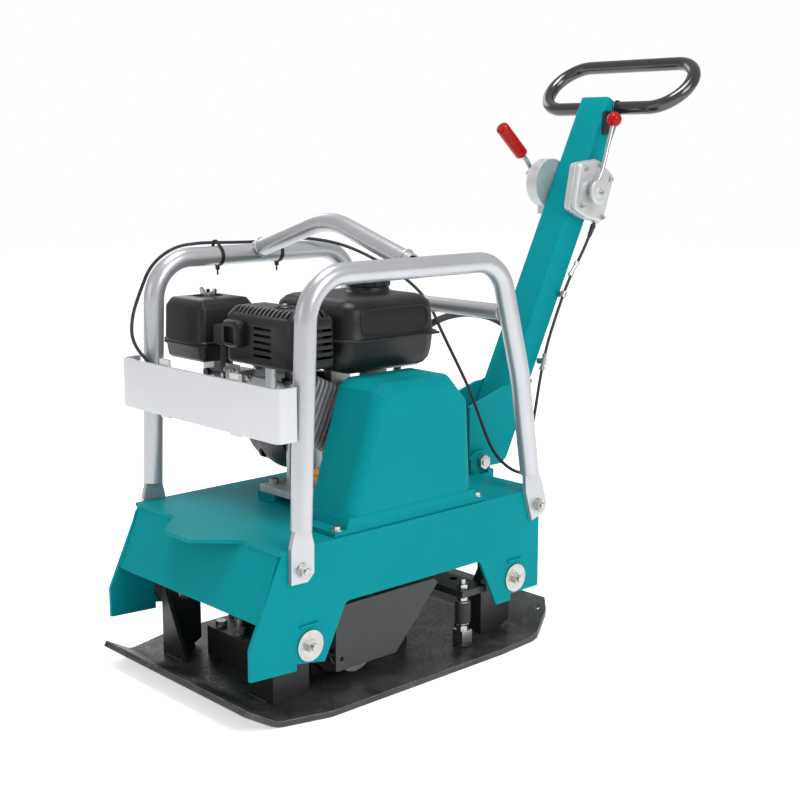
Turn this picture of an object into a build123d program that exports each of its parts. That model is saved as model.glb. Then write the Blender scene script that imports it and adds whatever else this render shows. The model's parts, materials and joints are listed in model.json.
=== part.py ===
"""Reversible plate compactor, in millimetres.

+Z is up, the bumper faces -Y and the operator stands on the +Y side. The belt cover is on the +X side.
z = 0 is the underside of the sole plate and y = 0 is the middle of the side plates' length.
"""

import os
from math import cos, radians, sin, tan

from build123d import *

os.makedirs("parts", exist_ok=True)

# ---- driving dimensions -------------------------------------------------------------------------------------
SOLE_HALF_WIDTH = 233.0
SOLE_FRONT = -331.0
SOLE_REAR = 362.0
SOLE_THICKNESS = 10.0
LIP_FRONT_BEND = -278.0
LIP_REAR_BEND = 288.0
LIP_FRONT_HEIGHT = 36.0
LIP_REAR_HEIGHT = 50.0
LIP_HOLE_RADIUS = 6.5
LIP_HOLE_FROM_BEND = 62.0

SIDE_OUTER_X = 200.0
SIDE_THICKNESS = 6.0
DECK_TOP = 271.0
DECK_FRONT = -262.0
DECK_REAR = 322.0

BUFFER_YZ = [(-206.0, 112.0), (260.0, 118.0)]
BUFFER_RADIUS = 29.0
BRACKET_FACE_X = 155.0
BRACKET_THICKNESS = 10.0

SHAFT_Z = 64.0
DRIVE_Y = -80.0
DRIVEN_Y = 0.0
SHAFT_RADIUS = 15.0
RUNNING_CLEARANCE = 0.05
CAVITY_RADIUS = 44.0
HOUSING_RADIUS = 50.0
HOUSING_HALF_LENGTH = 105.0
COVER_THICKNESS = 14.0
BEARING_RADIUS = 31.0
BEARING_WIDTH = 12.0
GEAR_TEETH = 32
GEAR_MODULE = 2.5

CRANK_Y = 37.0
CRANK_Z = 389.0
ENGINE_BASE_Z = 283.0
BELT_X = 150.0
BELT_WIDTH = 13.0
CLUTCH_PITCH_RADIUS = 45.0
EXCITER_PITCH_RADIUS = 36.0

TUBE_RADIUS = 17.0
TUBE_WALL = 2.6
HOOP_X = 204.0
HOOP_TOP_Z = 682.0
HOOP_BOLT_YZ = [(-224.0, 238.0), (310.0, 243.0)]
HOOP_TAB_THICKNESS = 8.0
BELT_COVER_BOLTS = [(-138, 186), (176, 186), (-138, 108)]

PIVOT_Y = 330.0
PIVOT_Z = 292.0
PIVOT_RADIUS = 8.0
DRAWBAR_ANGLE = 63.0
DRAWBAR_FOOT = (0.0, 380.0, 290.0)
DRAWBAR_WIDTH = 70.0
DRAWBAR_DEPTH = 54.0
DRAWBAR_WALL = 4.0
DRAWBAR_LENGTH = 745.0
HOSE_FITTING_ALONG = 245.0

GRIP_RADIUS = 13.0
GRIP_HALF_STRAIGHT = 109.0
GRIP_END_RADIUS = 64.0
GRIP_TILT = 42.6
GRIP_BAR_Y = 722.0
GRIP_BAR_Z = 944.0

THROTTLE_PIVOT = (75.0, 612.0, 783.0)
SHIFT_PIVOT = (-78.0, 612.0, 798.0)
CABLE_DIAMETER = 6.0
HOSE_DIAMETER = 13.0

DRAWBAR_PLANE = Plane(
    origin=DRAWBAR_FOOT,
    x_dir=(1, 0, 0),
    z_dir=(0, cos(radians(DRAWBAR_ANGLE)), sin(radians(DRAWBAR_ANGLE))),
)

CYLINDER_ANGLE = 25.0
CYLINDER_PLANE = Plane(
    origin=(0, CRANK_Y, CRANK_Z),
    x_dir=(1, 0, 0),
    z_dir=(0, -cos(radians(CYLINDER_ANGLE)), sin(radians(CYLINDER_ANGLE))),
)
CRANK_RADIUS = 12.5
FAN_RADIUS = 92.0
SWITCH_ANGLE = 20.0
CASE_HALF = 60.0
ENGINE_BOLTS = [(-73, -62), (73, -62), (-73, 92), (73, 92)]
OIL_CAP_CENTRE = (60, -62, 331)
TANK_LOW = (-105, -60, 500)
TANK_HIGH = (120, 180, 628)
FUEL_CAP_CENTRE = (8, 88)
MUFFLER_LOW = (-80, -160, 522)
MUFFLER_HIGH = (110, -65, 612)
AIR_LOW = (-250, -165, 516)
AIR_HIGH = (-132, -52, 612)
AIR_SPLIT_Z = 536
WING_NUT_XY = (-191, -108)
GRIP_EXIT = (-158, 118, 420)

# Routes of the held cords, as points chosen along the real ones.
CABLE_ON_DRAWBAR = [
    (50, 641, 722), (50, 622, 688), (50, 597, 652), (49, 570, 617), (48, 540, 558), (48, 510, 494),
    (48, 492, 430), (50, 478, 372),
]
CABLE_ON_DECK = [
    (50, 477.9, 371.6), (50, 469, 334.7), (66, 440, 306), (102, 400, 289), (140, 357, 286), (162, 318, 290),
    (152, 290, 304), (120, 284, 330), (90, 286, 378), (66, 282, 432), (40, 268, 490), (14, 258, 540),
    (-22, 262, 588), (-62, 256, 622), (-108, 232, 654), (-158, 192, 686), (-186, 140, 702),
    (-206, 84, 706), (-215, 22, 701), (-213, -44, 703), (-208, -110, 706), (-218, -158, 701),
    (-229, -198, 672), (-233, -218, 628), (-230, -238, 586), (-214, -250, 548), (-192, -238, 516),
    (-168, -214, 496), (-146, -182, 486),
]
TIE_RUNS = (17, 19)
HOSE_ROUTE = [
    (0, 445.5, 531.6), (0, 412, 548.7), (0, 372, 560), (-2, 326, 566), (-8, 276, 560), (-22, 232, 536),
    (-42, 208, 492), (-58, 204, 436), (-64, 206, 376), (-62, 210, 318), (-58, 208, 262), (-52, 190, 210),
    (-44, 156, 164), (-38, 116, 126), (-36, 82, 96), (-36, 50, 84),
]


# ---- helpers ------------------------------------------------------------------------------------------------
def save(piece, name):
    """Label a finished piece and write it as one STEP file."""
    piece.part.label = name
    export_step(piece.part, f"parts/{name}.step")


def side_plane(x):
    """A plane at this x whose local axes are the model's Y and Z, facing +X."""
    return Plane(origin=(x, 0, 0), x_dir=(0, 1, 0), z_dir=(1, 0, 0))


def add_polygon(plane, points, amount, corner=0.0, mode=Mode.ADD):
    """Extrude a polygon with rounded corners into the part being built."""
    with BuildSketch(plane) as outline:
        with BuildLine():
            Polyline(*points, close=True)
        make_face()
        if corner:
            fillet(outline.vertices(), corner)
    extrude(outline.sketch, amount=amount, mode=mode)


def add_disc(centre, direction, radius, amount, mode=Mode.ADD):
    """Extrude a circle from a centre along a direction."""
    with BuildSketch(Plane(origin=centre, z_dir=direction)) as outline:
        Circle(radius)
    extrude(outline.sketch, amount=amount, mode=mode)


def add_ring(centre, direction, outer_radius, inner_radius, amount):
    """Extrude a ring from a centre along a direction."""
    with BuildSketch(Plane(origin=centre, z_dir=direction)) as outline:
        Circle(outer_radius)
        Circle(inner_radius, mode=Mode.SUBTRACT)
    extrude(outline.sketch, amount=amount)


def add_hexagon(centre, direction, across_flats, amount):
    """Extrude a hexagon, such as a bolt head or a nut."""
    with BuildSketch(Plane(origin=centre, z_dir=direction)) as outline:
        RegularPolygon(across_flats / 2, 6, major_radius=False)
    extrude(outline.sketch, amount=amount)


def add_bolt(seat, direction, head, shank_radius, shank_length, washer_radius=0.0, washer_thickness=2.0):
    """A hex bolt whose head stands on a seat, with its shank going back into the work."""
    direction = Vector(*direction)
    seat = Vector(*seat)
    head_seat = seat
    if washer_radius:
        add_disc(seat, direction, washer_radius, washer_thickness)
        head_seat = seat + direction * washer_thickness
    add_hexagon(head_seat, direction, head, head * 0.42)
    add_disc(seat, direction, shank_radius, -shank_length)


def add_hull(plane, circles, amount, mode=Mode.ADD):
    """Extrude the belt-shaped outline around circles given as (y, z, radius)."""
    with BuildSketch(plane) as outline:
        for y, z, radius in circles:
            with Locations((y, z)):
                Circle(radius)
        make_hull()
    extrude(outline.sketch, amount=amount, mode=mode)


def add_box(low, high, mode=Mode.ADD):
    """A box between two corners."""
    middle = [(a + b) / 2 for a, b in zip(low, high)]
    size = [b - a for a, b in zip(low, high)]
    with Locations(tuple(middle)):
        Box(*size, mode=mode)


def cord_radii(points):
    """Bend radii of a cord: each as large as its two runs allow."""
    radii = []
    for before, here, after in zip(points, points[1:], points[2:]):
        first = Vector(*here) - Vector(*before)
        second = Vector(*after) - Vector(*here)
        turn = radians(first.get_angle(second))
        radii.append(0.45 * min(first.length, second.length) / tan(turn / 2))
    return radii


def add_cord(points, diameter, name):
    """Sweep a round cord along straight runs joined by tangent arcs."""
    radii = cord_radii(points)
    print(name, "bend radii", [round(radius) for radius in radii])
    with BuildLine() as route:
        FilletPolyline(*points, radius=radii)
    path = route.wire()
    with BuildSketch(Plane(origin=path @ 0, z_dir=path % 0)) as section:
        Circle(diameter / 2)
    sweep(section.sketch, path=path)
    print(name, "length", round(path.length), "section times length", round(path.length * diameter**2 * 0.7854))


def add_tube(points, radii, outer_radius, wall):
    """Sweep a round tube along a polyline with the given bend radii."""
    with BuildLine() as route:
        FilletPolyline(*points, radius=radii)
    path = route.wire()
    with BuildSketch(Plane(origin=path @ 0, z_dir=path % 0)) as section:
        Circle(outer_radius)
        Circle(outer_radius - wall, mode=Mode.SUBTRACT)
    sweep(section.sketch, path=path)


# ---- sole plate and what is fixed to it ---------------------------------------------------------------------
def lip_hole_plane(x):
    """Plane on the rear lip's centre line, with its normal square to the lip."""
    rise = LIP_REAR_HEIGHT - SOLE_THICKNESS / 2
    run = SOLE_REAR - LIP_REAR_BEND
    along = Vector(0, run, rise).normalized()
    centre = Vector(x, LIP_REAR_BEND, SOLE_THICKNESS / 2) + along * LIP_HOLE_FROM_BEND
    return Plane(origin=centre, x_dir=(1, 0, 0), z_dir=(0, -along.Z, along.Y))


def make_base_plate():
    half_rear = [(SOLE_HALF_WIDTH, 195), (225, 296), (206, 340), (172, 372)]
    half_front = [(196, -370), (208, -280), (SOLE_HALF_WIDTH, -190)]
    half = half_front + half_rear
    outline = half + [(-x, y) for x, y in reversed(half)]
    with BuildPart() as base_plate:
        with BuildSketch(side_plane(-SOLE_HALF_WIDTH)):
            with BuildLine():
                FilletPolyline(
                    (SOLE_FRONT, LIP_FRONT_HEIGHT),
                    (LIP_FRONT_BEND, SOLE_THICKNESS / 2),
                    (LIP_REAR_BEND, SOLE_THICKNESS / 2),
                    (SOLE_REAR, LIP_REAR_HEIGHT),
                    radius=45,
                )
            trace(line_width=SOLE_THICKNESS)
        extrude(amount=2 * SOLE_HALF_WIDTH)
        add_polygon(Plane.XY.offset(-5), outline, 90, corner=14, mode=Mode.INTERSECT)
        for x in (-186, 0, 186):
            plane = lip_hole_plane(x)
            add_disc(plane.origin - plane.z_dir * 20, plane.z_dir, LIP_HOLE_RADIUS, 40, mode=Mode.SUBTRACT)
    save(base_plate, "base_plate")
    plane = lip_hole_plane(0)
    print("rear lip hole centre", plane.origin, "axis", plane.z_dir)


def make_mount_brackets():
    """Four upright plates with a gusset, each carrying the inner end of one rubber buffer."""
    with BuildPart() as mount_brackets:
        for side in (-1, 1):
            for y, z in BUFFER_YZ:
                face_x = side * BRACKET_FACE_X
                back_x = face_x - side * BRACKET_THICKNESS
                top = z + 34
                outline = [
                    (y - 38, SOLE_THICKNESS), (y + 10, SOLE_THICKNESS), (y + 34, SOLE_THICKNESS + 12),
                    (y + 34, top), (y - 38, top),
                ]
                add_polygon(side_plane(back_x), outline, side * BRACKET_THICKNESS)
                gusset = Plane(origin=(0, y - 30, 0), x_dir=(1, 0, 0), z_dir=(0, -1, 0))
                inner_x = back_x - side * 58
                add_polygon(gusset, [(back_x, SOLE_THICKNESS), (inner_x, SOLE_THICKNESS), (back_x, z + 12)], 8)
                add_disc((face_x, y, z), (-side, 0, 0), 6.5, BRACKET_THICKNESS, mode=Mode.SUBTRACT)
    save(mount_brackets, "mount_brackets")


def make_exciter_housing():
    length = 2 * HOUSING_HALF_LENGTH
    start = side_plane(-HOUSING_HALF_LENGTH)
    bores = [(DRIVE_Y, SHAFT_Z), (DRIVEN_Y, SHAFT_Z)]
    with BuildPart() as exciter_housing:
        add_hull(start, [(y, z, HOUSING_RADIUS) for y, z in bores], length)
        add_polygon(start, [(-128, 10), (48, 10), (48, 64), (-128, 64)], length)
        add_box((-100, -190, SOLE_THICKNESS), (100, -120, 60))
        add_box((-100, 40, SOLE_THICKNESS), (100, 84, 26))
        add_hull(start, [(y, z, CAVITY_RADIUS) for y, z in bores], length, mode=Mode.SUBTRACT)
        for x in (-84, -28, 28, 84):
            add_disc((x, -172, SOLE_THICKNESS), (0, 0, 1), 5.5, 60, mode=Mode.SUBTRACT)
            add_disc((x, 66, SOLE_THICKNESS), (0, 0, 1), 5.5, 30, mode=Mode.SUBTRACT)
        add_disc((-36, 40, 84), (0, 1, 0), 7.05, 30, mode=Mode.SUBTRACT)
    save(exciter_housing, "exciter_housing")


def make_exciter_covers():
    """End covers with blind bearing seats. The near one lets the drive shaft through."""
    with BuildPart() as exciter_covers:
        for side in (-1, 1):
            plane = side_plane(side * HOUSING_HALF_LENGTH)
            outline = [(y, SHAFT_Z, HOUSING_RADIUS + 2) for y in (DRIVE_Y, DRIVEN_Y)]
            add_hull(plane, outline, side * COVER_THICKNESS)
            for y in (DRIVE_Y, DRIVEN_Y):
                seat = (side * HOUSING_HALF_LENGTH, y, SHAFT_Z)
                add_disc(seat, (side, 0, 0), BEARING_RADIUS, BEARING_WIDTH, mode=Mode.SUBTRACT)
            for y, z in ((-124, 64), (44, 64), (-80, 108), (0, 108), (-40, 108)):
                centre = (side * HOUSING_HALF_LENGTH, y, z)
                add_disc(centre, (side, 0, 0), 4.5, COVER_THICKNESS, mode=Mode.SUBTRACT)
        shaft_exit = (HOUSING_HALF_LENGTH, DRIVE_Y, SHAFT_Z)
        add_disc(shaft_exit, (1, 0, 0), SHAFT_RADIUS + 2, COVER_THICKNESS, mode=Mode.SUBTRACT)
        add_box((-130, -150, 0), (130, 70, SOLE_THICKNESS + 1), mode=Mode.SUBTRACT)
    save(exciter_covers, "exciter_covers")


def make_exciter_bearings():
    with BuildPart() as exciter_bearings:
        for side in (-1, 1):
            for y in (DRIVE_Y, DRIVEN_Y):
                seat = (side * HOUSING_HALF_LENGTH, y, SHAFT_Z)
                bore = SHAFT_RADIUS + RUNNING_CLEARANCE
                add_ring(seat, (side, 0, 0), BEARING_RADIUS, bore, BEARING_WIDTH - 0.5)
    save(exciter_bearings, "exciter_bearings")


def make_eccentric_shaft(y, end_x, name):
    """A shaft with a half-round eccentric weight hanging below its axis."""
    weight_radius = 38
    with BuildPart() as shaft:
        add_disc((-115.5, y, SHAFT_Z), (1, 0, 0), SHAFT_RADIUS, end_x + 115.5)
        with BuildSketch(side_plane(-66)) as weight:
            with Locations((y, SHAFT_Z)):
                Circle(weight_radius)
            with Locations((y, SHAFT_Z + 6)):
                Rectangle(2 * weight_radius, weight_radius, align=(Align.CENTER, Align.MIN), mode=Mode.SUBTRACT)
        extrude(weight.sketch, amount=144)
    save(shaft, name)


def make_timing_gear(y, turn, name):
    """Spur gear with straight-sided teeth and backlash."""
    pitch_radius = GEAR_TEETH * GEAR_MODULE / 2
    root_radius = pitch_radius - 1.25 * GEAR_MODULE
    tip_radius = pitch_radius + 0.85 * GEAR_MODULE
    root_half = 2.75
    tip_half = 0.85
    with BuildPart() as gear:
        with BuildSketch(side_plane(-96)) as outline:
            with Locations((y, SHAFT_Z)):
                Circle(root_radius)
                with PolarLocations(0, GEAR_TEETH, start_angle=turn):
                    Polygon(
                        (root_radius - 1, -root_half), (tip_radius, -tip_half),
                        (tip_radius, tip_half), (root_radius - 1, root_half), align=None,
                    )
                Circle(SHAFT_RADIUS, mode=Mode.SUBTRACT)
        extrude(outline.sketch, amount=20)
    save(gear, name)


def add_pulley(y, z, pitch_radius, half_width, bore):
    """A V pulley about an axis along X, with its groove at the belt's plane."""
    rim = pitch_radius + 3
    floor = pitch_radius - 9
    with BuildSketch(Plane(origin=(BELT_X, y, z), x_dir=(1, 0, 0), z_dir=(0, -1, 0))) as section:
        with BuildLine():
            Polyline(
                (-half_width, bore), (half_width, bore), (half_width, rim), (9, rim),
                (7, floor), (-7, floor), (-9, rim), (-half_width, rim), close=True,
            )
        make_face()
    revolve(section.sketch, axis=Axis((BELT_X, y, z), (1, 0, 0)))


def make_exciter_pulley():
    with BuildPart() as exciter_pulley:
        add_pulley(DRIVE_Y, SHAFT_Z, EXCITER_PITCH_RADIUS, 12, SHAFT_RADIUS)
    save(exciter_pulley, "exciter_pulley")


def make_drive_belt():
    """Belt round both pulleys, running through the slot in the deck."""
    runs = [(CRANK_Y, CRANK_Z, CLUTCH_PITCH_RADIUS), (DRIVE_Y, SHAFT_Z, EXCITER_PITCH_RADIUS)]
    start = side_plane(BELT_X - BELT_WIDTH / 2)
    with BuildPart() as drive_belt:
        add_hull(start, [(y, z, radius + 2) for y, z, radius in runs], BELT_WIDTH)
        add_hull(start, [(y, z, radius - 6) for y, z, radius in runs], BELT_WIDTH, mode=Mode.SUBTRACT)
    save(drive_belt, "drive_belt")


def make_lower_belt_guard():
    """Plate outside the exciter pulley, on two legs that stand on the near end cover."""
    plate_x = 186
    outline = [
        (-145, 48), (-145, 129), (-134, 156), (70, 156), (80, 148), (-16, 48),
    ]
    with BuildPart() as lower_belt_guard:
        add_polygon(side_plane(plate_x), outline, 4, corner=3)
        add_disc((plate_x, -133, 67), (1, 0, 0), 4, 4, mode=Mode.SUBTRACT)
        cover_face = HOUSING_HALF_LENGTH + COVER_THICKNESS
        for y, z in ((-126, 64), (0, 104)):
            add_disc((cover_face, y, z), (1, 0, 0), 4.5, plate_x - cover_face)
    save(lower_belt_guard, "lower_belt_guard")


def make_limiter_bar():
    """Cranked bar over the rear of the near side, held down by a sleeved bolt on the sole plate."""
    with BuildPart() as limiter_bar:
        add_box((60, 145, 101), (184, 205, 113))
        add_box((60, 84, 101), (96, 145, 113))
        add_box((60, 84, SOLE_THICKNESS), (96, 96, 101))
        add_disc((168, 162, 101), (0, 0, 1), 6.5, 12, mode=Mode.SUBTRACT)
        add_disc((120, 186, 101), (0, 0, 1), 8, 12, mode=Mode.SUBTRACT)
    save(limiter_bar, "limiter_bar")


def make_base_fasteners():
    """Bolts, nuts and fittings that ride with the sole plate."""
    with BuildPart() as base_fasteners:
        for side in (-1, 1):
            for y, z in BUFFER_YZ:
                seat = (side * (BRACKET_FACE_X - BRACKET_THICKNESS), y, z)
                add_bolt(seat, (-side, 0, 0), 19, 6, 22, washer_radius=12)
            for y, z in ((44, 64), (-80, 108), (-40, 108)):
                seat = (side * (HOUSING_HALF_LENGTH + COVER_THICKNESS), y, z)
                add_bolt(seat, (side, 0, 0), 13, 4.4, COVER_THICKNESS)
        for x in (-84, -28, 28, 84):
            add_bolt((x, -172, 60), (0, 0, 1), 17, 5.3, 48, washer_radius=10)
            add_bolt((x, 66, 26), (0, 0, 1), 17, 5.3, 14, washer_radius=10)
        add_disc((-58, -150, 60), (0, 0, 1), 10, 16)
        add_hexagon((-58, -150, 76), (0, 0, 1), 22, 8)
        add_box((156, 150, SOLE_THICKNESS), (180, 174, 38))
        add_disc((168, 162, 38), (0, 0, 1), 6, 92)
        add_hexagon((168, 162, 38.0), (0, 0, 1), 19, 8)
        add_ring((168, 162, 50), (0, 0, 1), 13, 6, 40)
        add_hexagon((168, 162, 92), (0, 0, 1), 19, 8.5)
        add_hexagon((168, 162, 113.2), (0, 0, 1), 19, 8)
    save(base_fasteners, "base_fasteners")


# ---- upper deck ---------------------------------------------------------------------------------------------
def make_side_plate(side, name):
    """Cranked side plate with two legs that reach down to the rubber buffers."""
    outline = [
        (-320, 82), (-320, 132), (-258, 265), (DECK_REAR, 265), (DECK_REAR, 90), (250, 90), (250, 78),
        (214, 78), (172, 166), (-132, 166), (-176, 78), (-232, 88), (-232, 77),
    ]
    inner_x = side * (SIDE_OUTER_X - SIDE_THICKNESS)
    with BuildPart() as side_plate:
        add_polygon(side_plane(inner_x), outline, side * SIDE_THICKNESS)
        rounded = [
            edge for edge in side_plate.edges().filter_by(Axis.X)
            if abs(edge.center().Z - 166) < 1 or abs(edge.center().Z - 132) < 1
        ]
        fillet(rounded, 12)
        for y, z in BUFFER_YZ + HOOP_BOLT_YZ:
            add_disc((inner_x, y, z), (side, 0, 0), 6.5, SIDE_THICKNESS, mode=Mode.SUBTRACT)
        for y, z in BUFFER_YZ:
            outer_x = side * SIDE_OUTER_X
            low_x, high_x = sorted((outer_x, outer_x + side * 3))
            add_box((low_x, y - 20, z + 31), (high_x, y + 16, z + 35))
    save(side_plate, name)


def make_deck_plate():
    """Top plate with a front tongue, sloping front apron, rear plate, drawbar lugs and stop bar."""
    half = SIDE_OUTER_X
    top = [
        (-half, DECK_FRONT), (-82, DECK_FRONT), (-24, -320), (48, -320), (105, DECK_FRONT),
        (half, DECK_FRONT), (half, DECK_REAR), (-half, DECK_REAR),
    ]
    inner = SIDE_OUTER_X - SIDE_THICKNESS
    with BuildPart() as deck_plate:
        add_polygon(Plane.XY.offset(DECK_TOP - 6), top, 6)
        apron = [(-261, 265), (-254, 265), (-294, 165), (-301, 165)]
        add_polygon(side_plane(-inner), apron, 2 * inner)
        add_box((-inner + 26, DECK_REAR - 6, 168), (inner - 26, DECK_REAR, 265))
        add_box((-60, DECK_REAR, 252), (60, 352, 271.6))
        add_box((-60, 337, 271), (60, 352, 276.6))
        for side in (-1, 1):
            lug = [(300, 271), (300, 300), (318, 312), (342, 312), (352, 300), (352, 252), (322, 252), (322, 271)]
            add_polygon(side_plane(side * 43), lug, side * 8)
            add_disc((side * 43, PIVOT_Y, PIVOT_Z), (side, 0, 0), PIVOT_RADIUS, 8, mode=Mode.SUBTRACT)
        add_box((118, -70, 262), (186, 66, 274), mode=Mode.SUBTRACT)
        add_disc((-58, 209, 260), (0, 0, 1), 11, 16, mode=Mode.SUBTRACT)
        for x in (-62, 62):
            add_box((x - 24, -88, DECK_TOP), (x + 24, 118, ENGINE_BASE_Z))
    save(deck_plate, "deck_plate")


def make_rubber_buffers():
    inner_x = SIDE_OUTER_X - SIDE_THICKNESS
    with BuildPart() as rubber_buffers:
        for side in (-1, 1):
            for y, z in BUFFER_YZ:
                start = (side * BRACKET_FACE_X, y, z)
                length = inner_x - BRACKET_FACE_X
                add_disc(start, (side, 0, 0), BUFFER_RADIUS, length)
                add_disc((side * inner_x, y, z), (-side, 0, 0), 6.3, 14, mode=Mode.SUBTRACT)
                add_disc(start, (side, 0, 0), 6.3, 14, mode=Mode.SUBTRACT)
        waist = [edge for edge in rubber_buffers.edges().filter_by(GeomType.CIRCLE) if edge.radius > 20]
        chamfer(waist, 3)
    save(rubber_buffers, "rubber_buffers")


def make_deck_fasteners():
    """Bolts, nuts, washers and the drawbar's pivot bolt that ride with the deck."""
    inner_x = SIDE_OUTER_X - SIDE_THICKNESS
    tab_face = SIDE_OUTER_X + HOOP_TAB_THICKNESS + 0.2
    with BuildPart() as deck_fasteners:
        for side in (-1, 1):
            for y, z in BUFFER_YZ:
                seat = (side * SIDE_OUTER_X, y, z)
                add_bolt(seat, (side, 0, 0), 19, 6, 18, washer_radius=25, washer_thickness=3)
                add_disc((side * (SIDE_OUTER_X + 10), y, z), (side, 0, 0), 6, 6)
            for y, z in HOOP_BOLT_YZ:
                add_bolt((side * tab_face, y, z), (side, 0, 0), 19, 6, 24, washer_radius=12)
                add_ring((side * inner_x, y, z), (-side, 0, 0), 10, 6, 8)
        for x, y in ENGINE_BOLTS:
            add_bolt((x, y, ENGINE_BASE_Z + 12), (0, 0, 1), 14, 4.9, 12, washer_radius=9)
        add_disc((-62, PIVOT_Y, PIVOT_Z), (1, 0, 0), PIVOT_RADIUS - 0.05, 124)
        add_hexagon((-51, PIVOT_Y, PIVOT_Z), (-1, 0, 0), 24, 9)
        add_hexagon((51, PIVOT_Y, PIVOT_Z), (1, 0, 0), 24, 9)
        for y, x in BELT_COVER_BOLTS:
            add_bolt((x, y, 279), (0, 0, 1), 13, 4, 8, washer_radius=9)
    save(deck_fasteners, "deck_fasteners")


def add_hoop_foot(side, tube_end, bolt):
    """Flat tab that carries on from inside the tube's end down to a bolt hole."""
    bolt_y, bolt_z = bolt
    end_y, end_z = tube_end
    tab_x = side * (SIDE_OUTER_X + 0.2 + HOOP_TAB_THICKNESS / 2)
    start = Vector(tab_x, end_y, end_z)
    down = (Vector(tab_x, bolt_y, bolt_z) - start).normalized()
    reach = (Vector(tab_x, bolt_y, bolt_z) - start).length
    plane = Plane(origin=start - Vector(HOOP_TAB_THICKNESS / 2, 0, 0), x_dir=down, z_dir=(1, 0, 0))
    tab = [
        (-26, -12), (-2, -15), (26, -22), (reach + 20, -22), (reach + 20, 10), (reach + 8, 22), (26, 22),
        (-2, 15), (-26, 12),
    ]
    add_polygon(plane, tab, HOOP_TAB_THICKNESS)
    hole = Vector(tab_x - HOOP_TAB_THICKNESS, bolt_y, bolt_z)
    add_disc(hole, (1, 0, 0), 6.5, 2 * HOOP_TAB_THICKNESS, mode=Mode.SUBTRACT)


def make_hoop(side, name):
    """Side guard: a tube bent over the engine, flattened and bolted at both ends."""
    x = side * HOOP_X
    front_end = (-223, 300)
    rear_end = (291, 304)
    points = [
        (x, *front_end), (x, -207, HOOP_TOP_Z), (x, 206, HOOP_TOP_Z), (x, 262, 480), (x, *rear_end),
    ]
    with BuildPart() as hoop:
        add_tube(points, [72, 68, 300], TUBE_RADIUS, TUBE_WALL)
        add_hoop_foot(side, front_end, HOOP_BOLT_YZ[0])
        add_hoop_foot(side, rear_end, HOOP_BOLT_YZ[1])
    save(hoop, name)


def make_lifting_bail():
    """Inverted V of tube between the two side guards, coped and welded onto their tops."""
    with BuildPart() as lifting_bail:
        add_tube([(-HOOP_X, 8, 688), (0, 8, 752), (HOOP_X, 8, 688)], [150], 15.5, 2.6)
        for side in (-1, 1):
            add_disc((side * HOOP_X, -60, HOOP_TOP_Z), (0, 1, 0), TUBE_RADIUS, 140, mode=Mode.SUBTRACT)
            low_x, high_x = sorted((side * HOOP_X, side * (HOOP_X + 40)))
            add_box((low_x, -40, 640), (high_x, 60, 740), mode=Mode.SUBTRACT)
    save(lifting_bail, "lifting_bail")


def make_rear_cross_tube():
    leg = Vector(0, 56, -202).normalized()
    with BuildPart() as rear_cross_tube:
        add_tube([(-HOOP_X, 231, 592), (0, 231.01, 592), (HOOP_X, 231, 592)], [90], 13.5, 2.4)
        for side in (-1, 1):
            start = Vector(side * HOOP_X, 231, 592) - leg * 60
            add_disc(start, leg, TUBE_RADIUS + 0.4, 120, mode=Mode.SUBTRACT)
            low_x, high_x = sorted((side * HOOP_X, side * (HOOP_X + 40)))
            add_box((low_x, 190, 540), (high_x, 270, 640), mode=Mode.SUBTRACT)
    save(rear_cross_tube, "rear_cross_tube")


def make_bumper():
    """Folded U sheet in front of the engine, with two stiffening straps behind it."""
    half = 214
    with BuildPart() as bumper:
        with BuildSketch(Plane.XY.offset(440)) as outline:
            with BuildLine():
                FilletPolyline((-half + 2, -236), (-half + 2, -270), (half - 2, -270), (half - 2, -236), radius=9)
            trace(line_width=4)
        extrude(outline.sketch, amount=82)
        for x in (-90, 102):
            add_box((x - 12, -268, 436), (x + 12, -262, 532))
    save(bumper, "bumper")


def make_belt_cover():
    """Pressed cover over the clutch and belt, open below and towards the engine."""
    cover = [(-124, 281), (-56, 488), (-38, 500), (106, 500), (150, 452), (160, 281)]
    flange = [(-150, DECK_TOP), (186, DECK_TOP), (186, 279), (-150, 279)]
    with BuildPart() as belt_cover:
        add_polygon(side_plane(98), cover, 97)
        fillet(belt_cover.edges().filter_by(Axis.X).group_by(Axis.Z)[-1], 16)
        outer = belt_cover.faces().sort_by(Axis.X)[-1]
        fillet([edge for edge in outer.edges() if edge.center().Z > 283], 20)
        add_polygon(side_plane(98), flange, 98)
        add_polygon(side_plane(98), [(-126, 278), (-120, 296), (160, 296), (166, 278)], 97.5)
        inner = [(-119, 268), (-53, 484), (-36, 496), (104, 496), (146, 450), (156, 268)]
        with BuildPart(mode=Mode.PRIVATE) as hollow:
            add_polygon(side_plane(97), inner, 94, corner=12)
            fillet(hollow.faces().sort_by(Axis.X)[-1].edges(), 16)
        add(hollow.part, mode=Mode.SUBTRACT)
        for y, x in BELT_COVER_BOLTS:
            add_disc((x, y, 270), (0, 0, 1), 4.2, 12, mode=Mode.SUBTRACT)
    save(belt_cover, "belt_cover")


# ---- engine -------------------------------------------------------------------------------------------------
def engine_switch_seat():
    """A point just off the fan housing's rim, and the direction out of it."""
    outward = Vector(0, cos(radians(SWITCH_ANGLE)), sin(radians(SWITCH_ANGLE)))
    return Vector(-106, CRANK_Y, CRANK_Z) + outward * (FAN_RADIUS + 0.3), outward


def cylinder_plane(distance):
    """A plane across the cylinder, this far from the crankshaft."""
    return CYLINDER_PLANE.offset(distance)


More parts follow.
